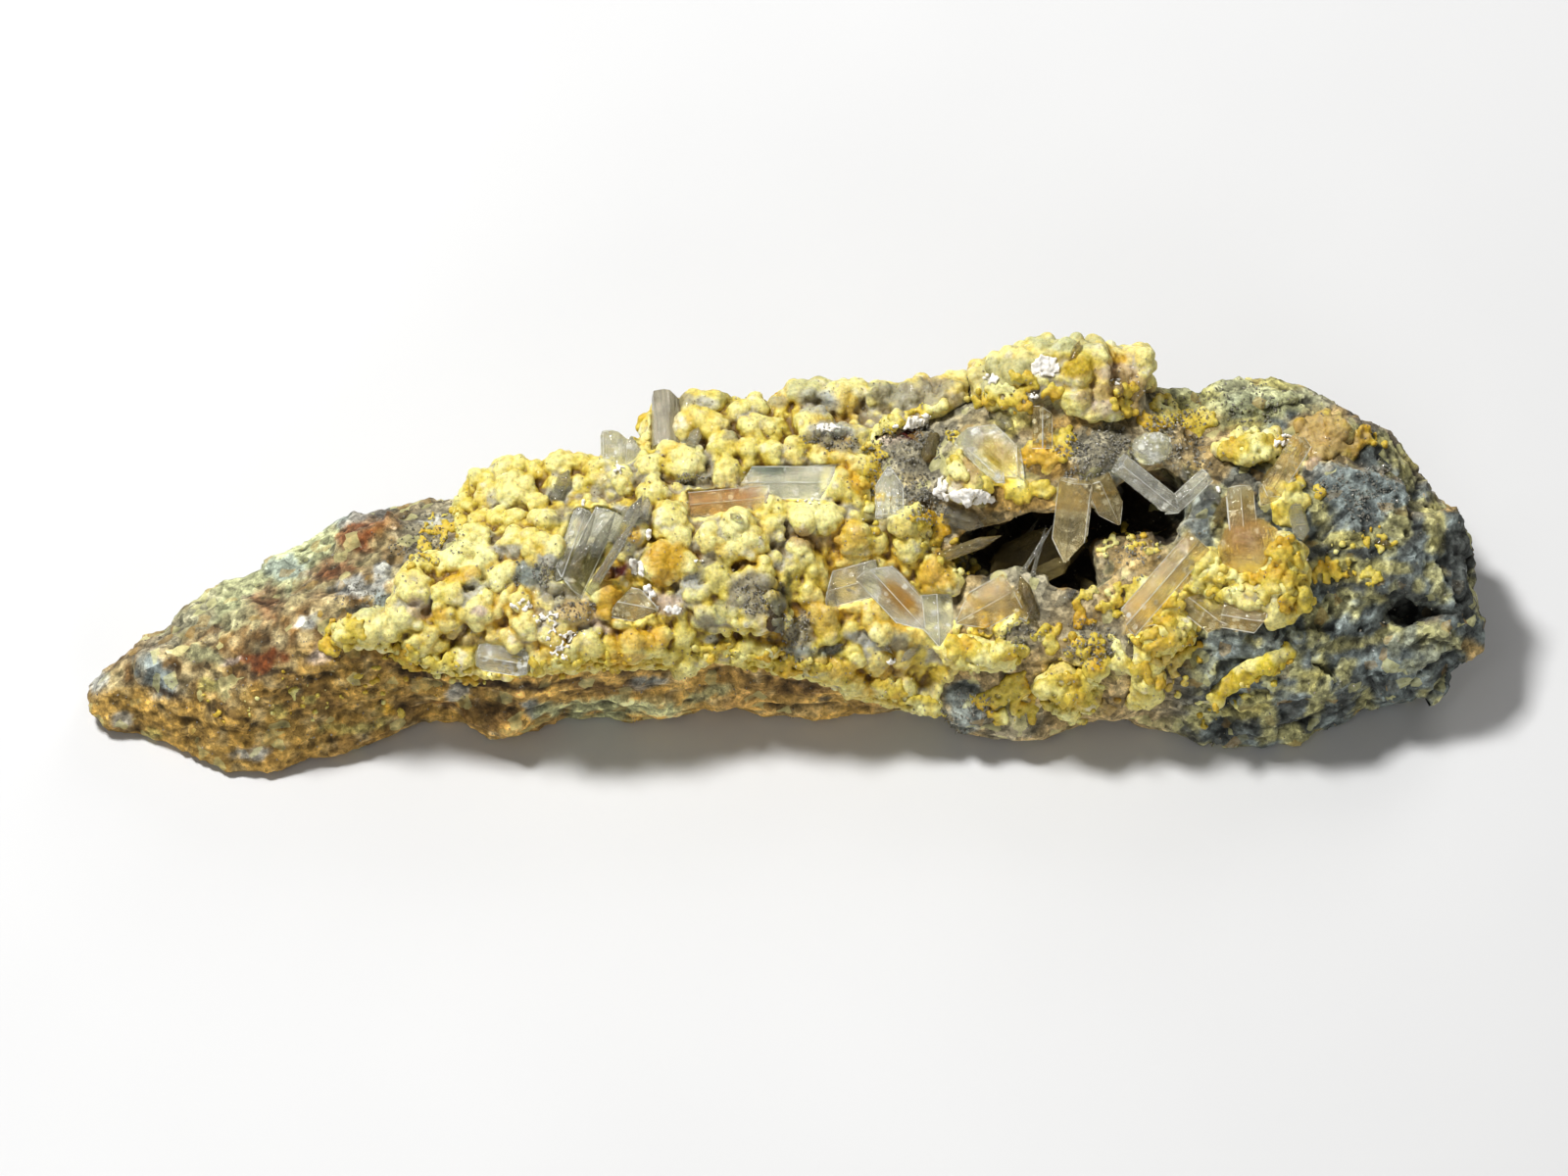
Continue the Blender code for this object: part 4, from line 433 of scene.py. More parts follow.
# Patches of loose granules of sulfur: centre (s, t), half sizes (s, t), turn, count, radius.
CRUMB_PATCHES = (
    ((40.5, 15.0), (3.4, 6.5), 0.0, 450, 0.34), ((46.0, 20.5), (4.8, 3.0), 0.0, 306, 0.32),
    ((53.2, 20.0), (2.8, 5.0), 0.0, 306, 0.34), ((49.0, 8.0), (6.6, 1.0), 32.0, 60, 0.29),
    ((30.5, 8.6), (4.6, 3.4), 0.0, 468, 0.34), ((25.0, 7.6), (4.2, 2.8), 0.0, 270, 0.32),
    ((21.5, 12.6), (3.8, 1.7), 0.0, 324, 0.34), ((33.8, 12.6), (2.4, 1.9), 0.0, 126, 0.32),
    ((50.0, 34.4), (4.6, 1.7), 0.0, 270, 0.32), ((54.6, 29.0), (2.6, 2.8), 0.0, 234, 0.37),
    ((57.6, 35.4), (3.2, 2.6), -10.0, 306, 0.44), ((62.0, 35.8), (2.6, 1.3), -15.0, 126, 0.34),
    ((62.0, 24.4), (3.4, 1.2), 5.0, 60, 0.24), ((59.0, 20.8), (3.8, 1.6), 0.0, 144, 0.27),
    ((44.4, 37.4), (2.6, 1.0), 0.0, 126, 0.34), ((24.5, 40.2), (4.2, 1.8), 0.0, 234, 0.30),
    ((27.2, 33.4), (1.8, 1.5), -25.0, 126, 0.34), ((34.4, 17.8), (3.0, 2.0), 20.0, 126, 0.29),
    ((-46.4, 14.6), (2.8, 1.7), 25.0, 162, 0.32), ((-36.5, 11.2), (6.0, 1.1), -16.0, 198, 0.29),
    ((-22.0, 11.2), (9.0, 1.0), 2.0, 270, 0.29), ((-37.0, 24.6), (1.8, 3.4), -30.0, 144, 0.29),
    ((-2.0, 11.8), (7.0, 1.1), -8.0, 198, 0.29), ((12.0, 8.2), (5.0, 1.2), -20.0, 198, 0.30),
    ((15.0, 25.6), (2.6, 1.8), 0.0, 162, 0.34), ((18.4, 33.0), (1.4, 2.6), 0.0, 150, 0.36),
    ((40.2, 38.0), (1.8, 2.4), 0.0, 160, 0.36),
    ((25.6, 30.0), (3.6, 1.1), -10.0, 150, 0.36), ((29.6, 34.6), (1.6, 2.2), 0.0, 120, 0.34),
    ((44.3, 36.2), (1.2, 1.0), 0.0, 61, 0.40),
    ((54.0, 28.6), (1.8, 1.6), 0.0, 108, 0.44), ((9.8, 31.0), (1.2, 5.5), 0.0, 170, 0.34),
    ((13.4, 37.6), (4.4, 0.9), 16.0, 130, 0.34), ((36.2, 39.8), (2.2, 1.8), 0.0, 130, 0.36),
    ((22.0, 15.4), (4.0, 1.8), 10.0, 130, 0.34), ((30.0, 13.6), (5.0, 1.6), 0.0, 150, 0.34),
    ((18.6, 22.6), (2.4, 1.6), -30.0, 60, 0.34), ((36.6, 24.4), (3.4, 1.6), 0.0, 60, 0.32),
    ((-50.0, 8.0), (12.0, 2.6), 4.0, 108, 0.24),
)


# ------------------------------------------------------------------ noise on arrays of points

def cell_value(cells, seed):
    """A number from 0 to 1 for each whole-number cell."""
    mixed = cells[:, 0] * 374761393 + cells[:, 1] * 668265263 + cells[:, 2] * 1440662683 + seed * 362437
    mixed = (mixed ^ (mixed >> 13)) & 0xFFFFFFFF
    mixed = (mixed * 1274126177) & 0xFFFFFFFF
    mixed = mixed ^ (mixed >> 16)
    return (mixed & 0xFFFFFF) / float(0xFFFFFF)


def smooth_noise(points, size, seed=0):
    """Smooth noise from -1 to 1, with features about a size across (a number, or one per axis)."""
    places = points / size
    base = np.floor(places).astype(np.int64)
    part = places - base
    part = part * part * (3.0 - 2.0 * part)
    total = np.zeros(len(points))
    for corner in range(8):
        step = np.array(((corner >> 2) & 1, (corner >> 1) & 1, corner & 1))
        weight = np.prod(np.where(step, part, 1.0 - part), axis=1)
        total += weight * cell_value(base + step, seed)
    return 2.0 * total - 1.0


def layered_noise(points, size, layers=3, seed=0):
    """Sum of smooth noises, each half as large and half as wide as the last."""
    total = np.zeros(len(points))
    for layer in range(layers):
        total += smooth_noise(points, np.asarray(size) / 2.0 ** layer, seed + 7 * layer) / 2.0 ** layer
    return total / 1.5


def fragment_noise(points, size, seed=0):
    """Noise made of flat tilted facets, like broken rock."""
    places = points / size
    base = np.floor(places).astype(np.int64)
    nearest = np.full(len(points), 1e9)
    cells = base.copy()
    offsets = np.zeros_like(places)
    for index in range(27):
        cell = base + np.array((index // 9 - 1, index // 3 % 3 - 1, index % 3 - 1))
        jitter = np.stack([cell_value(cell, seed + axis) for axis in range(3)], axis=1)
        offset = places - cell - jitter
        distance = np.sum(offset * offset, axis=1)
        closer = distance < nearest
        nearest[closer] = distance[closer]
        cells[closer] = cell[closer]
        offsets[closer] = offset[closer]
    tilts = np.stack([2.0 * cell_value(cells, seed + 11 + axis) - 1.0 for axis in range(3)], axis=1)
    return np.sum(tilts * offsets, axis=1) + 0.6 * (2.0 * cell_value(cells, seed + 20) - 1.0)


def ramp(values, low, high):
    """Smooth step from 0 at low to 1 at high."""
    part = np.clip((values - low) / (high - low), 0.0, 1.0)
    return part * part * (3.0 - 2.0 * part)


# ------------------------------------------------------------------ places and meshes

def display(points):
    """(s, t, depth out of the display plane) of points in millimetres."""
    shifted = points + np.array((0.0, CENTRE_Y, 0.0))
    return shifted @ ALONG, shifted @ UP_PLANE, shifted @ OUT_OF_PLANE


def plane_point(s, t, depth):
    """Place in millimetres at display place (s, t) and a depth out of the plane."""
    return s * ALONG + t * UP_PLANE + depth * OUT_OF_PLANE - np.array((0.0, CENTRE_Y, 0.0))


def read_points(mesh):
    """A mesh's points in millimetres, one row each."""
    flat = np.empty(3 * len(mesh.vertices))
    mesh.vertices.foreach_get("co", flat)
    return flat.reshape(-1, 3) / MM


def read_normals(mesh):
    """A mesh's normals, one row for each point."""
    flat = np.empty(3 * len(mesh.vertices))
    mesh.vertex_normals.foreach_get("vector", flat)
    return flat.reshape(-1, 3)


def write_points(mesh, points):
    """Move a mesh's points to places in millimetres."""
    mesh.vertices.foreach_set("co", (points * MM).ravel())
    mesh.update()


def new_mesh(name, points, faces):
    """An object from points in millimetres and faces, in the scene."""
    mesh = bpy.data.meshes.new(name)
    mesh.from_pydata([tuple(point) for point in points * MM], [], [tuple(face) for face in faces])
    obj = bpy.data.objects.new(name, mesh)
    bpy.context.scene.collection.objects.link(obj)
    return obj


def settle(obj):
    """Apply an object's modifiers."""
    bpy.context.view_layer.update()
    evaluated = obj.evaluated_get(bpy.context.evaluated_depsgraph_get())
    mesh = bpy.data.meshes.new_from_object(evaluated)
    old = obj.data
    obj.modifiers.clear()
    obj.data = mesh
    bpy.data.meshes.remove(old)


def remeshed(obj, voxel):
    """Give an object one even skin of small quads."""
    modifier = obj.modifiers.new("skin", "REMESH")
    modifier.mode = "VOXEL"
    modifier.voxel_size = voxel * MM
    settle(obj)


def averaged(mesh, values, rounds):
    """Values at a mesh's points, each averaged with its neighbours' a number of times."""
    edges = np.empty(2 * len(mesh.edges), dtype=np.int64)
    mesh.edges.foreach_get("vertices", edges)
    first, second = edges[0::2], edges[1::2]
    count = len(mesh.vertices)
    share = 1.0 / np.maximum(1, np.bincount(edges, minlength=count))
    values = values.copy()
    for _ in range(rounds):
        for column in range(values.shape[1]):
            level = values[:, column]
            total = np.bincount(first, level[second], count) + np.bincount(second, level[first], count)
            values[:, column] = 0.5 * level + 0.5 * total * share
    return values


def store(mesh, name, values):
    """Keep a colour, or a single value, for each point of a mesh."""
    if values.ndim == 1:
        attribute = mesh.attributes.new(name, "FLOAT", "POINT")
        attribute.data.foreach_set("value", values.astype(np.float32))
        return
    attribute = mesh.attributes.new(name, "FLOAT_COLOR", "POINT")
    full = np.ones((len(values), 4), dtype=np.float32)
    full[:, :3] = values
    attribute.data.foreach_set("color", full.ravel())


def keep_inside(points, room):
    """Points held within the CAD model's box plus some room, and on the table."""
    low = np.array(CAD_BOUNDS[0]) / MM - room
    high = np.array(CAD_BOUNDS[1]) / MM + room
    low[2] = 0.0
    return np.clip(points, low, high)


def tree_of(*objects):
    """One ray-casting tree for the shown skins of some objects."""
    corners, faces = [], []
    for obj in objects:
        mesh = obj.data
        start = len(corners)
        corners.extend(vert.co.copy() for vert in mesh.vertices)
        faces.extend([start + index for index in face.vertices] for face in mesh.polygons)
    return BVHTree.FromPolygons(corners, faces)


def seat(tree, s, t):
    """Place and normal, in millimetres, of the outermost skin at (s, t), or None twice."""
    start = Vector(plane_point(s, t, RAY_START) * MM)
    place, normal, _, _ = tree.ray_cast(start, -Vector(OUT_OF_PLANE))
    if place is None:
        return None, None
    return np.array(place) / MM, np.array(normal)


def painted(colours, points, patches, waver):
    """Colours with patches laid over them, their edges broken up by noise."""
    s, t, _ = display(points)
    shift_s = waver * layered_noise(points, 2.6, 3, 301)
    shift_t = waver * layered_noise(points, 2.2, 3, 302)
    ragged = 0.55 * layered_noise(points, 1.1, 2, 303)
    for colour, centre, halves, turn, strength in patches:
        angle = math.radians(turn)
        across, up = s + shift_s - centre[0], t + shift_t - centre[1]
        along = (across * math.cos(angle) + up * math.sin(angle)) / halves[0]
        over = (up * math.cos(angle) - across * math.sin(angle)) / halves[1]
        weight = strength * ramp(1.25 - np.hypot(along, over) + ragged, 0.0, 0.55)
        colours += weight[:, None] * (colour - colours)
    return colours


def crystal_trees():
    """Ray-casting trees of the clear and of the tan crystals."""
    clear, tan = [], []
    for name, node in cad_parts.items():
        if name.startswith("gypsum"):
            (tan if name in TAN_NODES else clear).append(node)
    return tree_of(*clear), tree_of(*tan)


def lit_ground(colours, points, trees):
    """Colours lightened where a crystal covers them: painted light that stands in for the light coming back
    through it.
    """
    way = Vector(OUT_OF_PLANE)
    for tree, ground in zip(trees, (CLEAR_LIT_GROUND, HONEY_LIT_GROUND)):
        covered = [tree.ray_cast(Vector(point * MM), way, COVER_REACH * MM)[0] is not None
                   for point in points]
        share = np.array(covered) * (0.6 + 0.6 * layered_noise(points, 1.6, 2, 461))
        grounds = painted(np.tile(ground, (len(points), 1)), points, GROUND_PATCHES, 0.25)
        colours = colours + np.clip(share, 0.0, 1.0)[:, None] * (grounds - colours)
    return colours


# ------------------------------------------------------------------ matrix rock

def rock_relief(points, normals):
    """How far the fine skin of the rock stands off the plain one."""
    s, t, _ = display(points)
    steep = 1.0 - ramp(np.abs(normals[:, 2]), 0.45, 0.85)
    left = 1.0 - ramp(s, -38.0, -28.0)
    right = ramp(s, 39.0, 47.0)
    behind = ramp(normals[:, 1], 0.1, 0.6)
    relief = 0.26 * layered_noise(points, 2.6, 3, 1) + 0.10 * smooth_noise(points, 0.7, 9)
    relief += left * 0.18 * (1.0 - 2.0 * np.abs(smooth_noise(points, 1.1, 21)))
    relief += (left + 0.5 * right) * 0.12 * smooth_noise(points, 0.9, 22)
    beds = layered_noise(points, (9.0, 9.0, 1.0), 3, 31)
    relief += 0.42 * steep * np.maximum(1.0 - right, 0.45 * behind) * beds
    chips = 0.75 * fragment_noise(points, 5.2, 41) + 0.35 * fragment_noise(points, 2.1, 61)
    relief += np.maximum(right, 0.55 * behind) * chips
    middle = (1.0 - left) * (1.0 - right)
    relief += middle * 0.22 * (1.0 - 2.0 * np.abs(smooth_noise(points, 1.7, 71)))
    fibres = ramp(s, 69.0, 70.5) * ramp(t, 12.0, 14.0)
    streaks = smooth_noise(np.stack((s, 0.12 * t, 0.4 * points[:, 2]), axis=1), 0.55, 81)
    relief += fibres * 0.28 * streaks
    return relief + ROCK_SWELL


def rock_colours(points, normals, hollows):
    """Colour of the rock at each point, with painted light on the front wall and painted shade deep in its
    hollows.
    """
    s, _, _ = display(points)
    blotch = layered_noise(points, 5.0, 3, 101)[:, None]
    fine = layered_noise(points, 1.3, 3, 111)[:, None]
    left = (1.0 - ramp(s, -36.0, -26.0))[:, None]
    right = ramp(s, 38.0, 46.0)[:, None]
    front = ramp(-normals[:, 1], 0.35, 0.75)[:, None] * (1.0 - right)
    colours = GREY + 0.5 * (TAN - GREY) * ramp(blotch, -0.3, 0.6)
    wing = BROWN + 0.9 * (SAND - BROWN) * ramp(fine, -0.5, 0.5)
    colours = colours + left * (wing - colours)
    beds = OCHRE + 0.7 * (BROWN - OCHRE) * ramp(blotch, -0.3, 0.6)
    beds = beds + 0.5 * (SAND - OCHRE) * ramp(fine, 0.1, 0.7)
    wall = 1.0 - 0.65 * ramp(s, 8.0, 15.0)[:, None]
    # Painted light: the front wall's beds are lightened, more to the right of the left wing, against the
    # shade the wall lies in.
    light = 1.15 + 0.5 * ramp(s, -40.0, -30.0)[:, None]
    colours = colours + 0.85 * front * wall * (light * beds - colours)
    stone = DARK_GREY + 0.9 * (BLUE_GREY - DARK_GREY) * ramp(fine + blotch, -0.6, 0.7)
    dusting = ramp(layered_noise(points, 2.6, 4, 121), -0.02, 0.3)[:, None]
    stone = stone + 0.72 * dusting * (MOSS - stone)
    colours = colours + right * (stone - colours)
    behind = ramp(normals[:, 1], 0.0, 0.5)[:, None]
    back = GREY + 0.7 * (BROWN - GREY) * ramp(blotch, -0.3, 0.4)
    back = back + 0.35 * dusting * (PALE_GREEN - back)
    colours = colours + 0.75 * behind * (back - colours)
    colours = painted(colours, points, ROCK_PATCHES, 1.0)
    # Painted shade: the rock darkens nearly to black deep in its hollows.
    dark = (0.92 * ramp(hollows, 1.4, 5.0))[:, None]
    return colours + dark * (SHADE_BLACK - colours)


def depth_below(points):
    """How far each point of the rock lies below the surroundings of its hollow."""
    s, t, depth = display(points)
    inside = ramp(5.6 - np.hypot((s - 31.0) / 2.2, (t - 25.0) / 1.3), 0.0, 1.4)
    recess = ramp(1.8 - np.hypot((s - 67.8) / 2.4, (t - 16.8) / 1.2), 0.0, 0.6)
    plain = 8.2
    return inside * np.maximum(0.0, plain - depth) + recess * 2.4


def make_rock(trees):
    """The rock's fine skin, which stands for the plain one."""
    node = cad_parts["matrix_rock"]
    obj = bpy.data.objects.new("rock_skin", node.data.copy())
    bpy.context.scene.collection.objects.link(obj)
    remeshed(obj, ROCK_VOXEL)
    mesh = obj.data
    points = averaged(mesh, read_points(mesh), 9)
    write_points(mesh, points)
    normals = read_normals(mesh)
    hollows = depth_below(points)
    free = ramp(points[:, 2], 0.05, 0.9)
    moved = points + normals * (rock_relief(points, normals) * free)[:, None]
    moved[:, 2] = np.where(points[:, 2] < 0.3, 0.0, moved[:, 2])
    write_points(mesh, keep_inside(moved, ROCK_ROOM))
    # The stored colour holds painted light under the crystals and painted shade in the hollows.
    store(mesh, "tint_and_shading", lit_ground(rock_colours(points, normals, hollows), moved, trees))
    # How far each point stands out of its surroundings, which the material turns into painted shade and
    # light.
    store(mesh, "cavity", np.sum((moved - averaged(mesh, moved, 12)) * normals, axis=1))
    mesh.shade_smooth()
    mesh.materials.clear()
    mesh.materials.append(rock_material())
    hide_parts("matrix_rock")
    finish_piece(obj)
    return obj


# ------------------------------------------------------------------ sulfur crusts

def ball_template(detail=2):
    """Points and faces of a ball of radius 1 with 20 triangles, or 80 with detail 2."""
    bm = bmesh.new()
    bmesh.ops.create_icosphere(bm, subdivisions=detail, radius=1.0)
    points = np.array([vert.co for vert in bm.verts])
    faces = np.array([[vert.index for vert in face.verts] for face in bm.faces])
    bm.free()
    return points, faces


def many(template, centres, radii):
    """Points and faces of many scaled copies of a template."""
    points, faces = template
    all_points = centres[:, None, :] + points[None, :, :] * radii[:, None, None]
    starts = len(points) * np.arange(len(centres))
    all_faces = faces[None, :, :] + starts[:, None, None]
    return all_points.reshape(-1, 3), all_faces.reshape(-1, faces.shape[1])


def scattered(mesh, count):
    """Places and normals spread evenly at random over a mesh."""
    mesh.calc_loop_triangles()
    corners = np.empty(3 * len(mesh.loop_triangles), dtype=np.int64)
    mesh.loop_triangles.foreach_get("vertices", corners)
    a, b, c = (read_points(mesh)[corners[index::3]] for index in range(3))
    cross = np.cross(b - a, c - a)
    areas = np.linalg.norm(cross, axis=1)
    picked = RANDOM.choice(len(areas), count, p=areas / areas.sum())
    first, second = RANDOM.random(count), RANDOM.random(count)
    over = first + second > 1.0
    first[over], second[over] = 1.0 - first[over], 1.0 - second[over]
    places = a[picked] + first[:, None] * (b - a)[picked] + second[:, None] * (c - a)[picked]
    return places, cross[picked] / areas[picked][:, None]


def open_places(places, normals, rock_tree):
    """Which places on a crust face away from the rock under it."""
    found = np.zeros(len(places), dtype=bool)
    for index, (place, normal) in enumerate(zip(places, normals)):
        start = Vector((place + 0.05 * normal) * MM)
        found[index] = rock_tree.ray_cast(start, Vector(normal), 0.9 * MM)[0] is None
    return found


def ball_heads(balls, crust_tree):
    """Centres and radii of a crust's lumpy heads and of the granules that cover each of them."""
    centres, radii = [], []
    for s, t, radius in balls:
        top, _ = seat(crust_tree, s, t)
        if top is None:
            continue
        centre = top - 0.85 * radius * OUT_OF_PLANE
        for _ in range(5):
            centres.append(centre + 0.26 * radius * RANDOM.normal(size=3))
            radii.append(radius * (0.46 + 0.24 * RANDOM.random()))
        count = int(44 * radius)
        for index in range(count):
            lean = math.acos(1.0 - 1.3 * (index + 0.5) / count)
            turn = GOLDEN_ANGLE * index
            side = math.cos(turn) * ALONG + math.sin(turn) * UP_PLANE
            way = math.sin(lean) * side + math.cos(lean) * OUT_OF_PLANE
            centres.append(centre + way * radius * (0.68 + 0.26 * RANDOM.random()))
            radii.append(radius * (0.11 + 0.2 * RANDOM.random() ** 1.6))
    return centres, radii


def flank_lumps(name, crust_tree):
    """Centres and radii of small balls, in lumps, over the rear and end faces of a crust."""
    draws = np.random.default_rng(FLANK_SEED)
    centres, radii = [], []
    for way, (start, end), (deep, high), count in FLANKS.get(name, ()):
        for _ in range(count):
            across, depth = draws.uniform(start, end), draws.uniform(deep, high)
            s, t = (across, RAY_START) if way is UP_PLANE else (RAY_START, across)
            place, _, _, _ = crust_tree.ray_cast(Vector(plane_point(s, t, depth) * MM), -Vector(way))
            radius = 0.55 + 0.95 * draws.random() ** 1.6
            if place is None:
                continue
            for _ in range(5):
                sunk_place = np.array(place) / MM - 0.5 * radius * way
                centres.append(sunk_place + 0.34 * radius * draws.normal(size=3))
                radii.append(radius * (0.4 + 0.35 * draws.random()))
    return centres, radii


def sunk_under(mesh, points, trees):
    """Points of a crust lowered where they would bury a crystal's outer face."""
    drops = np.zeros((len(points), 1))
    for index, point in enumerate(points):
        start = Vector((point + UNCOVER_START * OUT_OF_PLANE) * MM)
        for tree in trees:
            place, _, _, reach = tree.ray_cast(start, -Vector(OUT_OF_PLANE), UNCOVER_REACH * MM)
            if place is not None:
                drops[index] = max(drops[index], UNCOVER_REACH - reach / MM)
    drops = np.maximum(drops, averaged(mesh, drops, 2))
    return points - drops * OUT_OF_PLANE


def thin_underside(obj, rock_tree):
    """Thin out the skin of a crust where it faces the rock and is never seen."""
    mesh = obj.data
    places, normals = mesh.vertices, mesh.vertex_normals
    hidden = [index for index, vert in enumerate(places)
              if rock_tree.ray_cast(vert.co, normals[index].vector, 0.8 * MM)[0] is not None]
    group = obj.vertex_groups.new(name="under")
    group.add(hidden, 1.0, "REPLACE")
    thin = obj.modifiers.new("thin", "DECIMATE")
    thin.vertex_group = "under"
    thin.ratio = 1.0 - 0.86 * len(hidden) / len(places)
    settle(obj)
    obj.vertex_groups.clear()


def wavering_edge(points, normals):
    """Points of a crust moved so that its lower edge rises and falls and its rear face wanders."""
    s, _, depth = display(points)
    along = np.stack((s, 0.0 * s, 0.0 * s), axis=1)
    sag = 1.5 * layered_noise(along, 5.0, 3, 471) - 0.2
    low = ramp(-0.8 - depth, 0.0, 1.0) * sag
    rear = 0.55 * layered_noise(points, 4.0, 2, 472) * np.maximum(0.0, normals @ UP_PLANE)
    return points + low[:, None] * OUT_OF_PLANE + rear[:, None] * UP_PLANE


def make_crust(name, granules, balls, sunk, rock_tree, trees):
    """The knobbly skin of one crust, which stands for its node."""
    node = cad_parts[name]
    places, normals = scattered(node.data, granules)
    kept = open_places(places, normals, rock_tree)
    places, normals = places[kept], normals[kept]
    radii = 0.22 + 0.5 * RANDOM.random(len(places)) ** 3.0
    radii *= 1.0 + 0.3 * smooth_noise(places, 4.0, 401)
    centres = places - 0.2 * normals * radii[:, None]
    crust_tree = tree_of(node)
    for more, more_radii in (ball_heads(balls, crust_tree), flank_lumps(name, crust_tree)):
        if more:
            centres, radii = np.vstack((centres, more)), np.concatenate((radii, more_radii))
    grain_points, grain_faces = many(ball_template(), centres, radii)
    base = read_points(node.data)
    faces = [list(face.vertices) for face in node.data.polygons]
    faces += (grain_faces + len(base)).tolist()
    obj = new_mesh(name.replace("sulfur", "fine"), np.vstack((base, grain_points)), faces)
    remeshed(obj, CRUST_VOXEL)
    thin_underside(obj, rock_tree)
    mesh = obj.data
    points = read_points(mesh)
    broad = averaged(mesh, points, WIDE_ROUNDS)
    normals = read_normals(mesh)
    relief = CRUST_SWELL + 0.06 * smooth_noise(points, 0.5, 411)
    relief += 0.05 * smooth_noise(points, 1.6, 412)
    relief += sunk * 0.7 * layered_noise(points, 2.2, 2, 413)
    relief += 0.55 * np.minimum(0.0, np.sum((points - broad) * normals, axis=1))
    moved = points + normals * relief[:, None]
    wide = np.sum((moved - averaged(mesh, moved, WIDE_ROUNDS)) * normals, axis=1)
    near = np.sum((moved - averaged(mesh, moved, 8)) * normals, axis=1)
    moved = wavering_edge(sunk_under(mesh, moved, trees), normals)
    moved = keep_inside(moved - sunk * OUT_OF_PLANE, PIECE_ROOM)
    write_points(mesh, moved)
    # The stored colour holds painted highlights, painted shade and painted light under the crystals.
    store(mesh, "tint_and_shading", lit_ground(crust_colours(points, wide, near), moved, trees))
    mesh.shade_smooth()
    mesh.materials.append(sulfur_material())
    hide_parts(name)
    finish_piece(obj)
    return obj


def crust_colours(points, wide, near):
    """Colour of a crust: chalky on its tops, golden below them and amber in its recesses, the chalk partly
    a painted highlight and the amber partly painted shade, with painted shade in the deepest hollows.
    """
    blotch = layered_noise(points, 6.0, 3, 421)
    cast = layered_noise(points, 3.0, 4, 431)
    frost = layered_noise(points, 1.1, 2, 433)
    height = wide / 0.5 + 0.5 * near / 0.12 + 0.3 * blotch
    high = ramp(height, -0.3, 1.3)
    colours = SULFUR + (0.75 * ramp(blotch, -0.1, 0.5))[:, None] * (GOLD - SULFUR)
    grey = TAN + ramp(cast, -0.5, 0.3)[:, None] * (PALE_GREY - TAN)
    greyed = 0.8 * ramp(cast, 0.05, 0.30) * ramp(0.9 - height, 0.0, 1.2)
    colours = colours + greyed[:, None] * (grey - colours)
    # Chalk on the tops: partly the crust's own colour, partly a painted highlight.
    chalk_and_highlight = (0.5 + 0.4 * ramp(cast, -0.4, 0.4)) * high
    colours = colours + chalk_and_highlight[:, None] * (CHALK_YELLOW - colours)
    white = 0.55 * ramp(frost, 0.32, 0.55) * high
    colours = colours + white[:, None] * (WHITE - colours)
    # Amber in the recesses: partly the crust's own colour, partly painted shade.
    low = 0.85 * ramp(-height, 0.0, 1.5) * (1.0 - 0.7 * greyed)
    colours = colours + low[:, None] * (AMBER - colours)
    colours = painted(colours, points, CRUST_PATCHES, 0.7)
    # Painted shade in the deepest hollows.
    return colours * (1.0 - ramp(-height, 0.4, 2.4)[:, None] * HOLLOW_SHADE)


def rear_edge(tree):
    """Centres and radii of granules that fray the crust's lower edge along the back of the rock."""
    centres, radii = [], []
    still = np.zeros(REAR_GRANULES)
    spots = np.stack((-31.0 + 72.0 * RANDOM.random(REAR_GRANULES), still, still), axis=1)
    fray = 1.0 + 2.0 * layered_noise(spots, 3.0, 3, 451)
    rise = 2.4 * layered_noise(spots, 6.0, 2, 452)
    for s, deep, high in zip(spots[:, 0], fray, rise):
        depth = -2.8 + high - max(0.5, deep) * RANDOM.random()
        start = Vector(plane_point(s, RAY_START, depth) * MM)
        place, _, _, _ = tree.ray_cast(start, -Vector(UP_PLANE))
        if place is not None:
            centres.append(np.array(place) / MM)
            radii.append(0.22 + 0.34 * RANDOM.random() ** 2.0)
    return centres, radii


def crumbs(tree):
    """Loose granules and knobs of sulfur on the rock round the crusts."""
    places, normals, sizes = in_patches(tree, CRUMB_PATCHES)
    heads, head_radii = ball_heads(LOOSE_KNOBS, tree)
    rear, rear_radii = rear_edge(tree)
    centres = np.vstack((places + 0.1 * sizes[:, None] * normals, heads, rear))
    points, faces = many(ball_template(), centres, np.concatenate((sizes, head_radii, rear_radii)))
    obj = new_mesh("crumbs", points, faces)
    remeshed(obj, CRUMB_VOXEL)
    mesh = obj.data
    points = read_points(mesh)
    moved = points + read_normals(mesh) * (0.06 + 0.06 * smooth_noise(points, 0.4, 441))[:, None]
    write_points(mesh, keep_inside(moved, PIECE_ROOM))
    blotch = layered_noise(points, 2.4, 2, 442)[:, None]
    colours = SULFUR + ramp(blotch, 0.0, 0.5) * (CHALK_YELLOW - SULFUR)
    colours = colours + 0.8 * ramp(-blotch, 0.0, 0.6) * (GOLD - colours)
    # Amber in the recesses between granules: partly the sulfur's own colour, partly painted shade.
    near = np.sum((moved - averaged(mesh, moved, 12)) * read_normals(mesh), axis=1)
    colours = colours + (0.45 * ramp(-near, 0.02, 0.25))[:, None] * (AMBER - colours)
    store(mesh, "tint_and_shading", painted(colours, points, LOOSE_TINTS, 0.2))
    mesh.shade_smooth()
    mesh.materials.append(sulfur_material())
    finish_piece(obj)
    return obj


# ------------------------------------------------------------------ materials

def start_material(name):
    """A material with its nodes, links and shader."""
    material = bpy.data.materials.new(name)
    material.use_nodes = True
    nodes = material.node_tree.nodes
    return material, nodes, material.node_tree.links, nodes["Principled BSDF"]


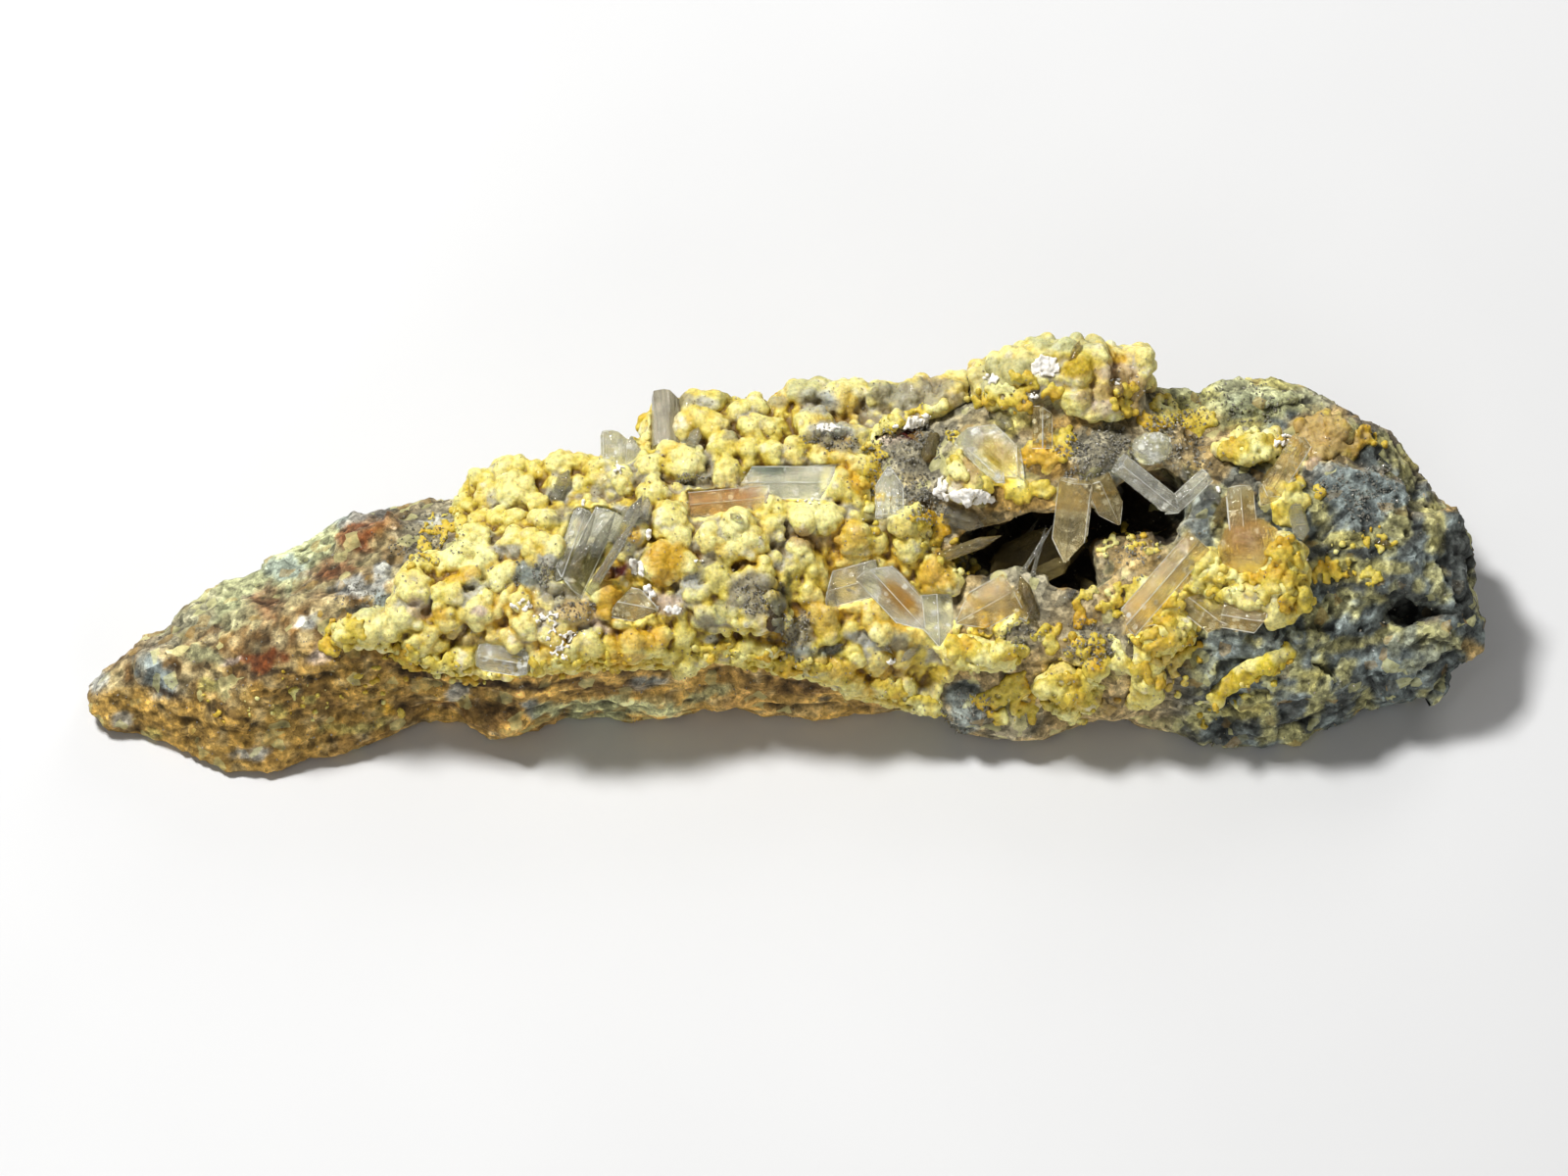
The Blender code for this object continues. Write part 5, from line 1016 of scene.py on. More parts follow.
def add_noise(nodes, links, scale, detail=6.0, roughness=0.6):
    """A noise texture in object space, features per metre."""
    coordinates = nodes.new("ShaderNodeTexCoord")
    noise = nodes.new("ShaderNodeTexNoise")
    noise.inputs["Scale"].default_value = scale
    noise.inputs["Detail"].default_value = detail
    noise.inputs["Roughness"].default_value = roughness
    links.new(coordinates.outputs["Object"], noise.inputs["Vector"])
    return noise


def add_cells(nodes, links, scale):
    """A cell texture in object space, cells per metre."""
    coordinates = nodes.new("ShaderNodeTexCoord")
    cells = nodes.new("ShaderNodeTexVoronoi")
    cells.inputs["Scale"].default_value = scale
    links.new(coordinates.outputs["Object"], cells.inputs["Vector"])
    return cells


def add_ramp(nodes, links, source, stops):
    """A colour ramp fed by a socket, with (place, grey or colour) stops."""
    node = nodes.new("ShaderNodeValToRGB")
    elements = node.color_ramp.elements
    while len(elements) < len(stops):
        elements.new(0.5)
    for element, (place, level) in zip(elements, stops):
        element.position = place
        colour = (level,) * 3 if np.isscalar(level) else tuple(level)
        element.color = (*colour, 1.0)
    links.new(source, node.inputs["Fac"])
    return node


def add_mix(nodes, links, blend, factor, first, second):
    """A colour mix node; the factor and second colour may be sockets or values."""
    node = nodes.new("ShaderNodeMix")
    node.data_type = "RGBA"
    node.blend_type = blend
    links.new(first, node.inputs["A"])
    for value, socket in ((factor, node.inputs["Factor"]), (second, node.inputs["B"])):
        if isinstance(value, bpy.types.NodeSocket):
            links.new(value, socket)
        else:
            socket.default_value = value
    return node


def add_attribute(nodes, name):
    """A node that reads a stored value of the mesh."""
    node = nodes.new("ShaderNodeAttribute")
    node.attribute_name = name
    return node


def add_bump(nodes, links, heights, shader):
    """A chain of bumps, from (socket, strength, distance in millimetres)."""
    last = None
    for socket, strength, distance in heights:
        bump = nodes.new("ShaderNodeBump")
        bump.inputs["Strength"].default_value = strength
        bump.inputs["Distance"].default_value = distance * MM
        links.new(socket, bump.inputs["Height"])
        if last is not None:
            links.new(last.outputs["Normal"], bump.inputs["Normal"])
        last = bump
    links.new(last.outputs["Normal"], shader.inputs["Normal"])


def rock_material():
    """Granular rock: stored colour with speckles, pale and dark grains, painted shade in its pits and
    painted light on its ridges, and small glints.
    """
    material, nodes, links, shader = start_material("rock")
    tint_and_shading = add_attribute(nodes, "tint_and_shading")
    fine = add_noise(nodes, links, 1100.0, 8.0, 0.72)
    broad = add_noise(nodes, links, 300.0, 5.0, 0.6)
    grains = add_cells(nodes, links, 1300.0)
    coarse = add_cells(nodes, links, 760.0)
    contrast = add_ramp(nodes, links, fine.outputs["Fac"], ((0.36, 0.36), (0.50, 1.0), (0.64, 1.75)))
    speckled = add_mix(nodes, links, "MULTIPLY", 0.85, tint_and_shading.outputs["Color"], contrast.outputs["Color"])
    mottle = add_ramp(nodes, links, broad.outputs["Fac"], ((0.38, 0.72), (0.62, 1.28)))
    mottled = add_mix(nodes, links, "MULTIPLY", 1.0, speckled.outputs["Result"], mottle.outputs["Color"])
    grain_tone = add_ramp(nodes, links, grains.outputs["Color"], ((0.0, 0.5), (0.5, 1.0), (1.0, 1.6)))
    grainy = add_mix(nodes, links, "MULTIPLY", 0.9, mottled.outputs["Result"], grain_tone.outputs["Color"])
    golden = add_ramp(nodes, links, coarse.outputs["Color"], ((0.80, 0.0), (0.86, 0.4)))
    warmed = add_mix(nodes, links, "MIX", golden.outputs["Color"], grainy.outputs["Result"], (*OCHRE, 1.0))
    creamy = add_ramp(nodes, links, coarse.outputs["Color"], ((0.16, 0.5), (0.22, 0.0)))
    creamed = add_mix(nodes, links, "MIX", creamy.outputs["Color"], warmed.outputs["Result"],
                      (*CHALK_YELLOW * 0.8, 1.0))
    cavity = add_attribute(nodes, "cavity")
    # Painted shade in the pits and painted light on the ridges, from the stored hollowness.
    cavity_shade = nodes.new("ShaderNodeMapRange")
    cavity_shade.inputs["From Min"].default_value = -0.24
    cavity_shade.inputs["From Max"].default_value = 0.10
    cavity_shade.inputs["To Min"].default_value = 0.30
    cavity_shade.inputs["To Max"].default_value = 1.2
    links.new(cavity.outputs["Fac"], cavity_shade.inputs["Value"])
    shaded = add_mix(nodes, links, "MULTIPLY", 1.0, creamed.outputs["Result"], cavity_shade.outputs["Result"])
    links.new(shaded.outputs["Result"], shader.inputs["Base Color"])
    glint = add_ramp(nodes, links, grains.outputs["Color"], ((0.0, 0.86), (0.84, 0.80), (0.90, 0.12)))
    links.new(glint.outputs["Color"], shader.inputs["Roughness"])
    heights = ((fine.outputs["Fac"], 0.9, 0.35), (grains.outputs["Distance"], 0.7, 0.22))
    add_bump(nodes, links, heights, shader)
    return material


def sulfur_material():
    """Granular sulfur: stored colour with its painted shading, fine sugary grain, a little light under the
    skin.
    """
    material, nodes, links, shader = start_material("sulfur")
    tint_and_shading = add_attribute(nodes, "tint_and_shading")
    fine = add_noise(nodes, links, 2200.0, 5.0, 0.65)
    broad = add_noise(nodes, links, 420.0, 5.0, 0.6)
    grains = add_cells(nodes, links, 2600.0)
    tone = add_ramp(nodes, links, fine.outputs["Fac"], ((0.32, 0.62), (0.52, 1.0), (0.70, 1.22)))
    speckled = add_mix(nodes, links, "MULTIPLY", 0.9, tint_and_shading.outputs["Color"], tone.outputs["Color"])
    warm = add_ramp(nodes, links, broad.outputs["Fac"], ((0.46, 0.0), (0.62, 0.45)))
    varied = add_mix(nodes, links, "MULTIPLY", warm.outputs["Color"], speckled.outputs["Result"],
                     (0.95, 0.80, 0.50, 1.0))
    links.new(varied.outputs["Result"], shader.inputs["Base Color"])
    glint = add_ramp(nodes, links, grains.outputs["Color"], ((0.0, 0.62), (0.80, 0.55), (0.88, 0.16)))
    links.new(glint.outputs["Color"], shader.inputs["Roughness"])
    shader.inputs["Subsurface Weight"].default_value = 0.18
    shader.inputs["Subsurface Radius"].default_value = (0.9, 0.6, 0.15)
    shader.inputs["Subsurface Scale"].default_value = 0.9 * MM
    shader.inputs["IOR"].default_value = 1.6
    heights = ((fine.outputs["Fac"], 0.7, 0.16), (grains.outputs["Distance"], 0.5, 0.10))
    add_bump(nodes, links, heights, shader)
    return material


def zone_share(nodes, links, centre, halves, turn):
    """Share of a coloured zone of a crystal: 1 in its middle, 0 outside its half sizes."""
    angle = math.radians(turn)
    along = math.cos(angle) * ALONG + math.sin(angle) * UP_PLANE
    over = np.cross(OUT_OF_PLANE, along)
    coordinates = nodes.new("ShaderNodeTexCoord")
    place = nodes.new("ShaderNodeMapping")
    place.vector_type = "TEXTURE"
    place.inputs["Location"].default_value = plane_point(*centre, 0.0) * MM
    axes = Matrix((along, over, OUT_OF_PLANE)).transposed()
    place.inputs["Rotation"].default_value = axes.to_euler()
    place.inputs["Scale"].default_value = (halves[0] * MM, halves[1] * MM, 1.0)
    links.new(coordinates.outputs["Object"], place.inputs["Vector"])
    reach = nodes.new("ShaderNodeVectorMath")
    reach.operation = "LENGTH"
    links.new(place.outputs["Vector"], reach.inputs[0])
    return add_ramp(nodes, links, reach.outputs["Value"], ((0.55, 1.0), (1.0, 0.0)))


def crystal_material(name, colour, clear, density, veil, turn=(0.0, 0.0, 0.0), zones=()):
    """A see-through crystal with clouds, coloured zones and fine lines along its length."""
    material, nodes, links, shader = start_material(name)
    clouds = add_noise(nodes, links, 420.0, 6.0, 0.65)
    lines = add_noise(nodes, links, 2600.0, 4.0, 0.6)
    stretch = nodes.new("ShaderNodeMapping")
    stretch.vector_type = "TEXTURE"
    stretch.inputs["Rotation"].default_value = turn
    stretch.inputs["Scale"].default_value = (14.0, 1.0, 1.0)
    links.new(lines.inputs["Vector"].links[0].from_socket, stretch.inputs["Vector"])
    links.new(stretch.outputs["Vector"], lines.inputs["Vector"])
    shade = add_ramp(nodes, links, clouds.outputs["Fac"], ((0.42, colour), (0.66, veil)))
    streaks = add_ramp(nodes, links, lines.outputs["Fac"], ((0.38, 0.66), (0.58, 1.0)))
    shaded = add_mix(nodes, links, "MULTIPLY", 0.8, shade.outputs["Color"], streaks.outputs["Color"])
    for centre, halves, angle, zone_colour in zones:
        share = zone_share(nodes, links, centre, halves, angle)
        zone_colour = (*zone_colour, 1.0)
        shaded = add_mix(nodes, links, "MIX", share.outputs["Color"], shaded.outputs["Result"], zone_colour)
    links.new(shaded.outputs["Result"], shader.inputs["Base Color"])
    frost = add_ramp(nodes, links, clouds.outputs["Fac"], ((0.44, 0.02), (0.70, 0.20)))
    links.new(frost.outputs["Color"], shader.inputs["Roughness"])
    shader.inputs["IOR"].default_value = 1.53
    shader.inputs["Transmission Weight"].default_value = clear
    add_bump(nodes, links, ((lines.outputs["Fac"], 1.0, 0.3), (clouds.outputs["Fac"], 0.5, 0.5)), shader)
    absorption = nodes.new("ShaderNodeVolumeAbsorption")
    absorption.inputs["Color"].default_value = (*colour, 1.0)
    absorption.inputs["Density"].default_value = density
    links.new(absorption.outputs["Volume"], nodes["Material Output"].inputs["Volume"])
    return material


def powder_material():
    """Dry white powder."""
    material, nodes, links, shader = start_material("powder")
    fine = add_noise(nodes, links, 2600.0, 4.0, 0.6)
    tone = add_ramp(nodes, links, fine.outputs["Fac"], ((0.35, linear("D9D2C4")), (0.60, linear("F8F6F0"))))
    links.new(tone.outputs["Color"], shader.inputs["Base Color"])
    shader.inputs["Roughness"].default_value = 0.7
    add_bump(nodes, links, ((fine.outputs["Fac"], 0.6, 0.12),), shader)
    return material


def floor_material():
    """Plain pale floor with a faint mottle."""
    material, nodes, links, shader = start_material("floor")
    mottle = add_noise(nodes, links, 9.0, 3.0, 0.5)
    tone = add_ramp(nodes, links, mottle.outputs["Fac"], ((0.3, 0.60), (0.7, 0.64)))
    links.new(tone.outputs["Color"], shader.inputs["Base Color"])
    shader.inputs["Roughness"].default_value = 0.7
    return material


def finish_piece(obj):
    """Let a piece move with the specimen."""
    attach(obj, "root")


# ------------------------------------------------------------------ crystals kept from the CAD model

# Crystals with a tan look.
TAN_NODES = (
    "gypsum_rim_block", "gypsum_brown_crystal", "gypsum_tan_plate", "gypsum_hanging_drops",
    "gypsum_tan_upright", "gypsum_finger_cluster", "gypsum_long_prism", "gypsum_brown_right",
    "gypsum_right_plate", "vug_crystals",
)


# Colour, clearness, absorption density and veil colour of the kinds of crystal.
CLEAR_GLASS = (linear("FAFBF4"), 0.92, 8.0, linear("EEEBDC"))
TAN_GLASS = (linear("E8D8A2"), 0.88, 20.0, linear("D4C394"))
RIM_GLASS = (linear("B2AC96"), 0.35, 8.0, linear("8C8670"))

# Coloured zones in crystals: centre (s, t), half sizes (s, t), turn, colour.
CRYSTAL_ZONES = {
    "gypsum_main_cluster": (((12.6, 18.3), (3.6, 1.2), -43.0, linear("D0AA5C")),
                            ((6.6, 20.0), (2.6, 2.6), 0.0, linear("E0D2B0"))),
    "gypsum_block_crystal": (((22.8, 33.6), (3.2, 1.9), -40.0, linear("D9CB74")),),
    "gypsum_slab_and_prism": (((-7.4, 28.8), (6.4, 2.4), 4.0, linear("DDBC80")),
                              ((-11.2, 28.2), (1.8, 2.0), 0.0, linear("BC7C4C")),
                              ((-1.6, 32.2), (3.0, 1.1), -4.0, linear("8E9C98"))),
    "gypsum_finger_cluster": (((48.8, 25.0), (3.0, 3.0), 0.0, linear("D6BA84")),
                              ((48.0, 30.4), (1.8, 2.2), 0.0, linear("D6D2B8"))),
    "gypsum_left_prisms": (((-20.6, 20.8), (3.0, 3.6), 0.0, linear("A49A5C")),
                           ((-17.6, 25.8), (2.8, 2.4), 0.0, linear("F4F4E6"))),
    "gypsum_long_prism": (((36.8, 16.2), (4.0, 2.4), 48.0, linear("DCC89C")),),
}


def long_way(node):
    """Turn of the axes that follow a crystal's length, width and depth."""
    points = read_points(node.data)
    _, _, rows = np.linalg.svd(points - points.mean(axis=0), full_matrices=False)
    rows[2] = np.cross(rows[0], rows[1])
    return Matrix(rows.T.tolist()).to_euler()


def dress_crystals():
    """Give every crystal node its material and fine worn edges."""
    for name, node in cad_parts.items():
        if not name.startswith("gypsum") and name != "vug_crystals":
            continue
        bevel = node.modifiers.new("edges", "BEVEL")
        bevel.width = 0.18 * MM
        bevel.segments = 2
        bevel.limit_method = "ANGLE"
        bevel.angle_limit = SHARP_ANGLE
        values = TAN_GLASS if name in TAN_NODES else CLEAR_GLASS
        values = RIM_GLASS if name == "gypsum_rim_block" else values
        material = crystal_material(name + "_glass", *values, long_way(node), CRYSTAL_ZONES.get(name, ()))
        node.visible_shadow = False
        if node.material_slots:
            node.material_slots[0].material = material
        else:
            node.data.materials.append(material)


# ------------------------------------------------------------------ small crystals, druse and powder

def prism_template(sides=6):
    """Points and triangles of a short upright prism with a pointed top, 1 across and 1 high."""
    angles = [2.0 * math.pi * index / sides for index in range(sides)]
    ring = [(0.5 * math.cos(angle), 0.5 * math.sin(angle)) for angle in angles]
    points = [(x, y, 0.0) for x, y in ring] + [(x, y, 0.68) for x, y in ring]
    points += [(0.0, 0.0, 1.0), (0.0, 0.0, 0.0)]
    faces = []
    for index in range(sides):
        after = (index + 1) % sides
        faces += [(index, after, sides + after), (index, sides + after, sides + index)]
        faces += [(sides + index, sides + after, 2 * sides), (after, index, 2 * sides + 1)]
    return np.array(points), np.array(faces)


def turned(template, centres, axes, widths, lengths, spins):
    """Points and faces of copies of an upright template, each pointing along its own axis."""
    points, faces = template
    axes = axes / np.linalg.norm(axes, axis=1)[:, None]
    side = np.cross(axes, np.where(np.abs(axes[:, 2:3]) < 0.9, (0.0, 0.0, 1.0), (1.0, 0.0, 0.0)))
    side /= np.linalg.norm(side, axis=1)[:, None]
    other = np.cross(axes, side)
    first = np.cos(spins)[:, None] * side + np.sin(spins)[:, None] * other
    second = np.cross(axes, first)
    placed = centres[:, None, :] + points[None, :, 0:1] * (widths[:, None] * first)[:, None, :]
    placed += points[None, :, 1:2] * (widths[:, None] * second)[:, None, :]
    placed += points[None, :, 2:3] * (lengths[:, None] * axes)[:, None, :]
    starts = len(points) * np.arange(len(centres))
    return placed.reshape(-1, 3), (faces[None, :, :] + starts[:, None, None]).reshape(-1, 3)


def flaws():
    """Thin bright flaws just under the faces of the crystals."""
    centres, axes, widths = [], [], []
    for name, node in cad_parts.items():
        if not name.startswith("gypsum") or name == "gypsum_rim_block":
            continue
        places, normals = scattered(node.data, FLAWS_EACH)
        _, _, rows = np.linalg.svd(places - places.mean(axis=0), full_matrices=False)
        centres.append(places - normals * (0.2 + 0.5 * RANDOM.random((FLAWS_EACH, 1))))
        lean = RANDOM.normal(size=(FLAWS_EACH, 3))
        axes.append(lean - 0.8 * (lean @ rows[0])[:, None] * rows[0])
        widths.append(0.25 + 0.6 * RANDOM.random(FLAWS_EACH) ** 1.5)
    widths = np.concatenate(widths)
    spins = 2.0 * math.pi * RANDOM.random(len(widths))
    thin = 0.0 * widths + 0.03
    points, faces = turned(prism_template(5), np.vstack(centres), np.vstack(axes), widths, thin, spins)
    obj = new_mesh("flaws", points, faces)
    obj.data.materials.append(crystal_material("flaws", linear("FFFFFA"), 0.5, 0.0, linear("F4F2E6")))
    finish_piece(obj)


def edge_highlight_rods():
    """Fine bright rods along some of the crystals' sharp edges: painted highlights where light would catch
    them.
    """
    starts, ends = [], []
    for name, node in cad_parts.items():
        if not name.startswith("gypsum") or name == "gypsum_rim_block":
            continue
        bm = bmesh.new()
        bm.from_mesh(node.data)
        bmesh.ops.remove_doubles(bm, verts=bm.verts, dist=0.001 * MM)
        for edge in bm.edges:
            sharp = len(edge.link_faces) == 2 and edge.calc_face_angle() > SHARP_ANGLE
            if sharp and edge.calc_length() > 0.8 * MM and RANDOM.random() < 0.7:
                starts.append(np.array(edge.verts[0].co) / MM)
                ends.append(np.array(edge.verts[1].co) / MM)
        bm.free()
    starts, ends = np.array(starts), np.array(ends)
    widths = 0.05 + 0.09 * RANDOM.random(len(starts))
    lengths = np.linalg.norm(ends - starts, axis=1)
    points, faces = turned(prism_template(4), starts, ends - starts, widths, lengths, 0.0 * widths)
    obj = new_mesh("edge_highlight_rods", points, faces)
    # The rods' bright material paints highlights on the edges.
    obj.data.materials.append(crystal_material("edges", linear("FFFFF8"), 0.35, 0.0, linear("F6F4EA")))
    finish_piece(obj)


# Patches of small upright crystals: centre (s, t), half sizes (s, t), turn, count, width.
DRUSE_PATCHES = (
    ((33.4, 33.4), (3.8, 3.4), 0.0, 675, 0.22), ((12.6, 33.0), (3.6, 4.2), 0.0, 585, 0.22),
    ((14.4, 28.2), (3.0, 2.0), 0.0, 270, 0.21), ((-3.2, 18.4), (2.0, 2.4), 0.0, 202, 0.18),
    ((1.6, 14.6), (1.6, 2.4), 0.0, 180, 0.18), ((-26.0, 20.8), (2.4, 1.8), -20.0, 247, 0.19),
    ((-22.4, 17.2), (2.8, 1.8), -20.0, 292, 0.18), ((61.8, 29.8), (4.6, 2.8), 0.0, 585, 0.18),
    ((19.6, 6.6), (2.4, 2.4), 0.0, 247, 0.19), ((32.6, 13.4), (3.2, 2.2), 0.0, 270, 0.19),
    ((-38.0, 24.4), (3.4, 3.2), 0.0, 337, 0.18), ((-16.6, 25.4), (2.2, 2.2), 0.0, 157, 0.20),
    ((5.4, 35.4), (2.8, 1.2), -5.0, 157, 0.19), ((-9.6, 31.2), (2.0, 0.48), 0.0, 112, 0.18),
    ((-44.6, 18.6), (3.0, 1.2), -10.0, 180, 0.16), ((38.0, 23.0), (3.0, 2.2), 0.0, 180, 0.21),
    ((25.0, 14.4), (2.2, 1.4), 0.0, 135, 0.19), ((50.0, 39.0), (7.0, 2.2), -4.0, 360, 0.18),
    ((40.6, 36.0), (2.0, 2.4), 0.0, 200, 0.20), ((17.0, 34.8), (2.2, 2.2), 0.0, 202, 0.21),
    ((43.4, 34.6), (3.4, 3.2), 0.0, 270, 0.20),
)
# Tufts of white powder, in the same form with the size of a grain in place of the width.
POWDER_PATCHES = (
    ((-15.4, 21.9), (0.6, 1.2), 25.0, 115, 0.20), ((-14.3, 25.0), (0.15, 0.53), 0.0, 76, 0.20),
    ((-21.2, 28.4), (0.11, 0.53), 0.0, 57, 0.19), ((-17.4, 31.9), (0.7, 0.42), 0.0, 26, 0.19),
    ((-14.0, 18.6), (1.1, 0.85), -20.0, 115, 0.24), ((-11.9, 17.2), (1.3, 0.63), -10.0, 115, 0.20),
    ((-24.6, 16.4), (1.4, 1.0), 0.0, 134, 0.14), ((-23.8, 13.6), (1.8, 1.6), 0.0, 211, 0.14),
    ((-28.0, 17.6), (1.3, 0.63), 0.0, 76, 0.14), ((19.4, 29.2), (2.7, 0.73), -8.0, 364, 0.24),
    ((17.2, 30.4), (0.6, 1.0), 0.0, 96, 0.24), ((14.6, 37.4), (2.3, 0.63), 18.0, 230, 0.20),
    ((28.0, 42.9), (1.4, 1.0), 0.0, 230, 0.20), ((53.6, 35.2), (1.3, 0.85), 40.0, 115, 0.17),
    ((22.2, 41.6), (1.0, 0.63), 0.0, 96, 0.19), ((26.6, 39.8), (1.11, 0.53), 10.0, 115, 0.19),
    ((46.4, 29.8), (0.16, 0.53), 30.0, 57, 0.17), ((-8.8, 22.2), (0.9, 0.32), 0.0, 34, 0.17),
    ((11.6, 11.6), (0.7, 0.42), 0.0, 26, 0.19), ((5.0, 36.4), (2.3, 0.42), -6.0, 115, 0.17),
    ((2.8, 28.5), (1.7, 0.32), 0.0, 57, 0.15), ((35.4, 41.4), (1.15, 0.63), 0.0, 96, 0.17),
)
# Separate small crystals: foot (s, t, lift), tip (s, t, lift), width, and whether it is tan.
SMALL_PRISMS = (
    ((54.6, 27.6, 0.6), (54.2, 24.0, 1.4), 1.8, False), ((17.4, 27.2, 0.3), (21.0, 26.6, 0.9), 2.3, False),
    ((18.2, 28.0, 0.2), (20.0, 25.4, 0.6), 1.4, False), ((30.6, 43.6, 0.2), (31.4, 45.0, 0.4), 0.9, True),
    ((-9.8, 34.5, 0.2), (-9.2, 36.0, 0.8), 1.3, False),
    ((-24.2, 29.0, 0.2), (-22.6, 31.0, 0.9), 1.6, False),
    ((-14.8, 26.6, 0.4), (-13.4, 28.2, 1.2), 1.3, False),
    ((-16.6, 27.4, 0.4), (-15.2, 26.4, 1.3), 1.5, False),
    ((8.6, 14.9, 0.1), (11.0, 13.2, 0.6), 1.0, False), ((4.2, 12.8, 0.0), (6.2, 13.0, 0.5), 0.9, False),
    ((34.8, 30.6, 0.2), (37.2, 29.6, 0.8), 1.3, False), ((45.0, 30.2, 0.2), (46.6, 28.4, 0.9), 1.2, False),
    ((16.2, 35.6, 0.3), (15.2, 33.0, 0.6), 1.6, True), ((22.4, 38.0, 0.2), (24.4, 36.4, 1.0), 1.6, False),
    ((14.8, 13.2, 0.1), (12.6, 12.0, 0.6), 0.9, False), ((24.0, 18.2, 0.2), (26.6, 15.8, 0.6), 1.3, True),
    ((51.0, 29.6, 0.3), (52.6, 31.8, 1.0), 1.2, True), ((46.2, 26.2, 0.3), (47.4, 29.0, 1.0), 1.3, True),
    ((31.8, 20.6, 0.3), (34.6, 18.6, 0.8), 1.2, True), ((29.0, 17.4, 0.0), (31.6, 18.8, 0.7), 1.1, False),
    ((-5.8, 27.4, 0.0), (-4.6, 26.6, 0.6), 0.9, False), ((62.6, 24.6, 0.1), (64.4, 24.2, 0.4), 0.7, True),
)

# Needles and prisms that stand free: foot (s, t), reach (s, t, out), width, and whether it is tan.
FREE_PRISMS = (
    ((24.2, 21.6), (3.4, 5.4, 0.8), 0.7, False), ((25.6, 21.2), (3.2, 5.0, 1.4), 0.5, False),
    ((26.6, 20.8), (1.4, 5.2, 1.0), 0.5, False), ((17.2, 22.8), (6.2, 2.2, 0.8), 1.3, True),
    ((26.6, 16.8), (-1.4, 4.0, 1.2), 1.4, True), ((37.4, 15.6), (5.0, 0.9, 1.0), 0.6, True),
    ((37.6, 14.9), (4.6, 0.8, 1.2), 0.5, True), ((-21.8, 19.4), (4.2, 8.2, 2.2), 1.4, False),
    ((-20.0, 19.6), (4.4, 7.0, 2.6), 1.1, False), ((-17.2, 24.6), (2.4, 4.6, 2.4), 1.6, False),
    ((-1.0, 31.4), (7.4, 1.2, 2.2), 0.8, False), ((-22.6, 20.6), (3.0, 7.4, 2.0), 0.8, False),
)


def in_patches(tree, patches):
    """Places, normals and sizes scattered over ragged patches and seated on a skin."""
    places, normals, sizes = [], [], []
    for centre, halves, turn, count, size in patches:
        angle = math.radians(turn)
        reach, way = 1.25 * np.sqrt(RANDOM.random(count)), 2.0 * math.pi * RANDOM.random(count)
        along, over = reach * np.cos(way) * halves[0], reach * np.sin(way) * halves[1]
        s = centre[0] + along * math.cos(angle) - over * math.sin(angle)
        t = centre[1] + along * math.sin(angle) + over * math.cos(angle)
        ragged = layered_noise(np.stack((s, t, 0.0 * s), axis=1), 1.8, 2, 601)
        kept = reach + 0.9 * ragged < 0.95
        for one_s, one_t in zip(s[kept], t[kept]):
            place, normal = seat(tree, one_s, one_t)
            if place is not None:
                places.append(place)
                normals.append(normal)
                sizes.append(size * (0.45 + 1.0 * RANDOM.random() ** 1.5))
    return np.array(places), np.array(normals), np.array(sizes)


def druse(tree):
    """Small glassy crystals standing on the grey parts."""
    places, normals, sizes = in_patches(tree, DRUSE_PATCHES)
    axes = normals + 0.75 * (RANDOM.random(normals.shape) - 0.5) * 2.0
    lengths = sizes * (1.0 + 1.3 * RANDOM.random(len(sizes)))
    spins = 2.0 * math.pi * RANDOM.random(len(sizes))
    feet = places - 0.3 * sizes[:, None] * normals
    points, faces = turned(prism_template(), feet, axes, sizes, lengths, spins)
    obj = new_mesh("druse", keep_inside(points, PIECE_ROOM), faces)
    obj.data.materials.append(crystal_material("druse", linear("E2DFD2"), 0.6, 6.0, linear("C4C0B2")))
    finish_piece(obj)


def powder(tree):
    """Tufts of white powder."""
    places, normals, sizes = in_patches(tree, POWDER_PATCHES)
    lifted = places + normals * (sizes * (RANDOM.random(len(sizes)) * 1.4))[:, None]
    obj = new_mesh("powder", *many(ball_template(1), lifted, sizes))
    remeshed(obj, POWDER_VOXEL)
    mesh = obj.data
    points = read_points(mesh)
    moved = points + read_normals(mesh) * (0.05 * smooth_noise(points, 0.25, 501))[:, None]
    write_points(mesh, keep_inside(moved, PIECE_ROOM))
    mesh.shade_smooth()
    mesh.materials.append(powder_material())
    finish_piece(obj)


def grains(tree):
    """Glinting grains scattered over the showy side."""
    left, right = GRAIN_ENDS
    places, normals = [], []
    for _ in range(GRAIN_COUNT):
        s = left + (right - left) * RANDOM.random()
        t = GRAIN_LOW + GRAIN_HIGH * RANDOM.random()
        place, normal = seat(tree, s, t)
        if place is not None:
            places.append(place)
            normals.append(normal)
    places, normals = np.array(places), np.array(normals)
    sizes = 0.1 + 0.15 * RANDOM.random(len(places)) ** 2
    axes = normals + 1.4 * (RANDOM.random(normals.shape) - 0.5)
    points, faces = turned(prism_template(4), places - 0.2 * sizes[:, None] * normals, axes,
                           sizes, 1.4 * sizes, 2.0 * math.pi * RANDOM.random(len(sizes)))
    obj = new_mesh("grains", keep_inside(points, PIECE_ROOM), faces)
    obj.data.materials.append(crystal_material("grains", linear("EDE7D6"), 0.6, 10.0, linear("E4DAC0")))
    finish_piece(obj)


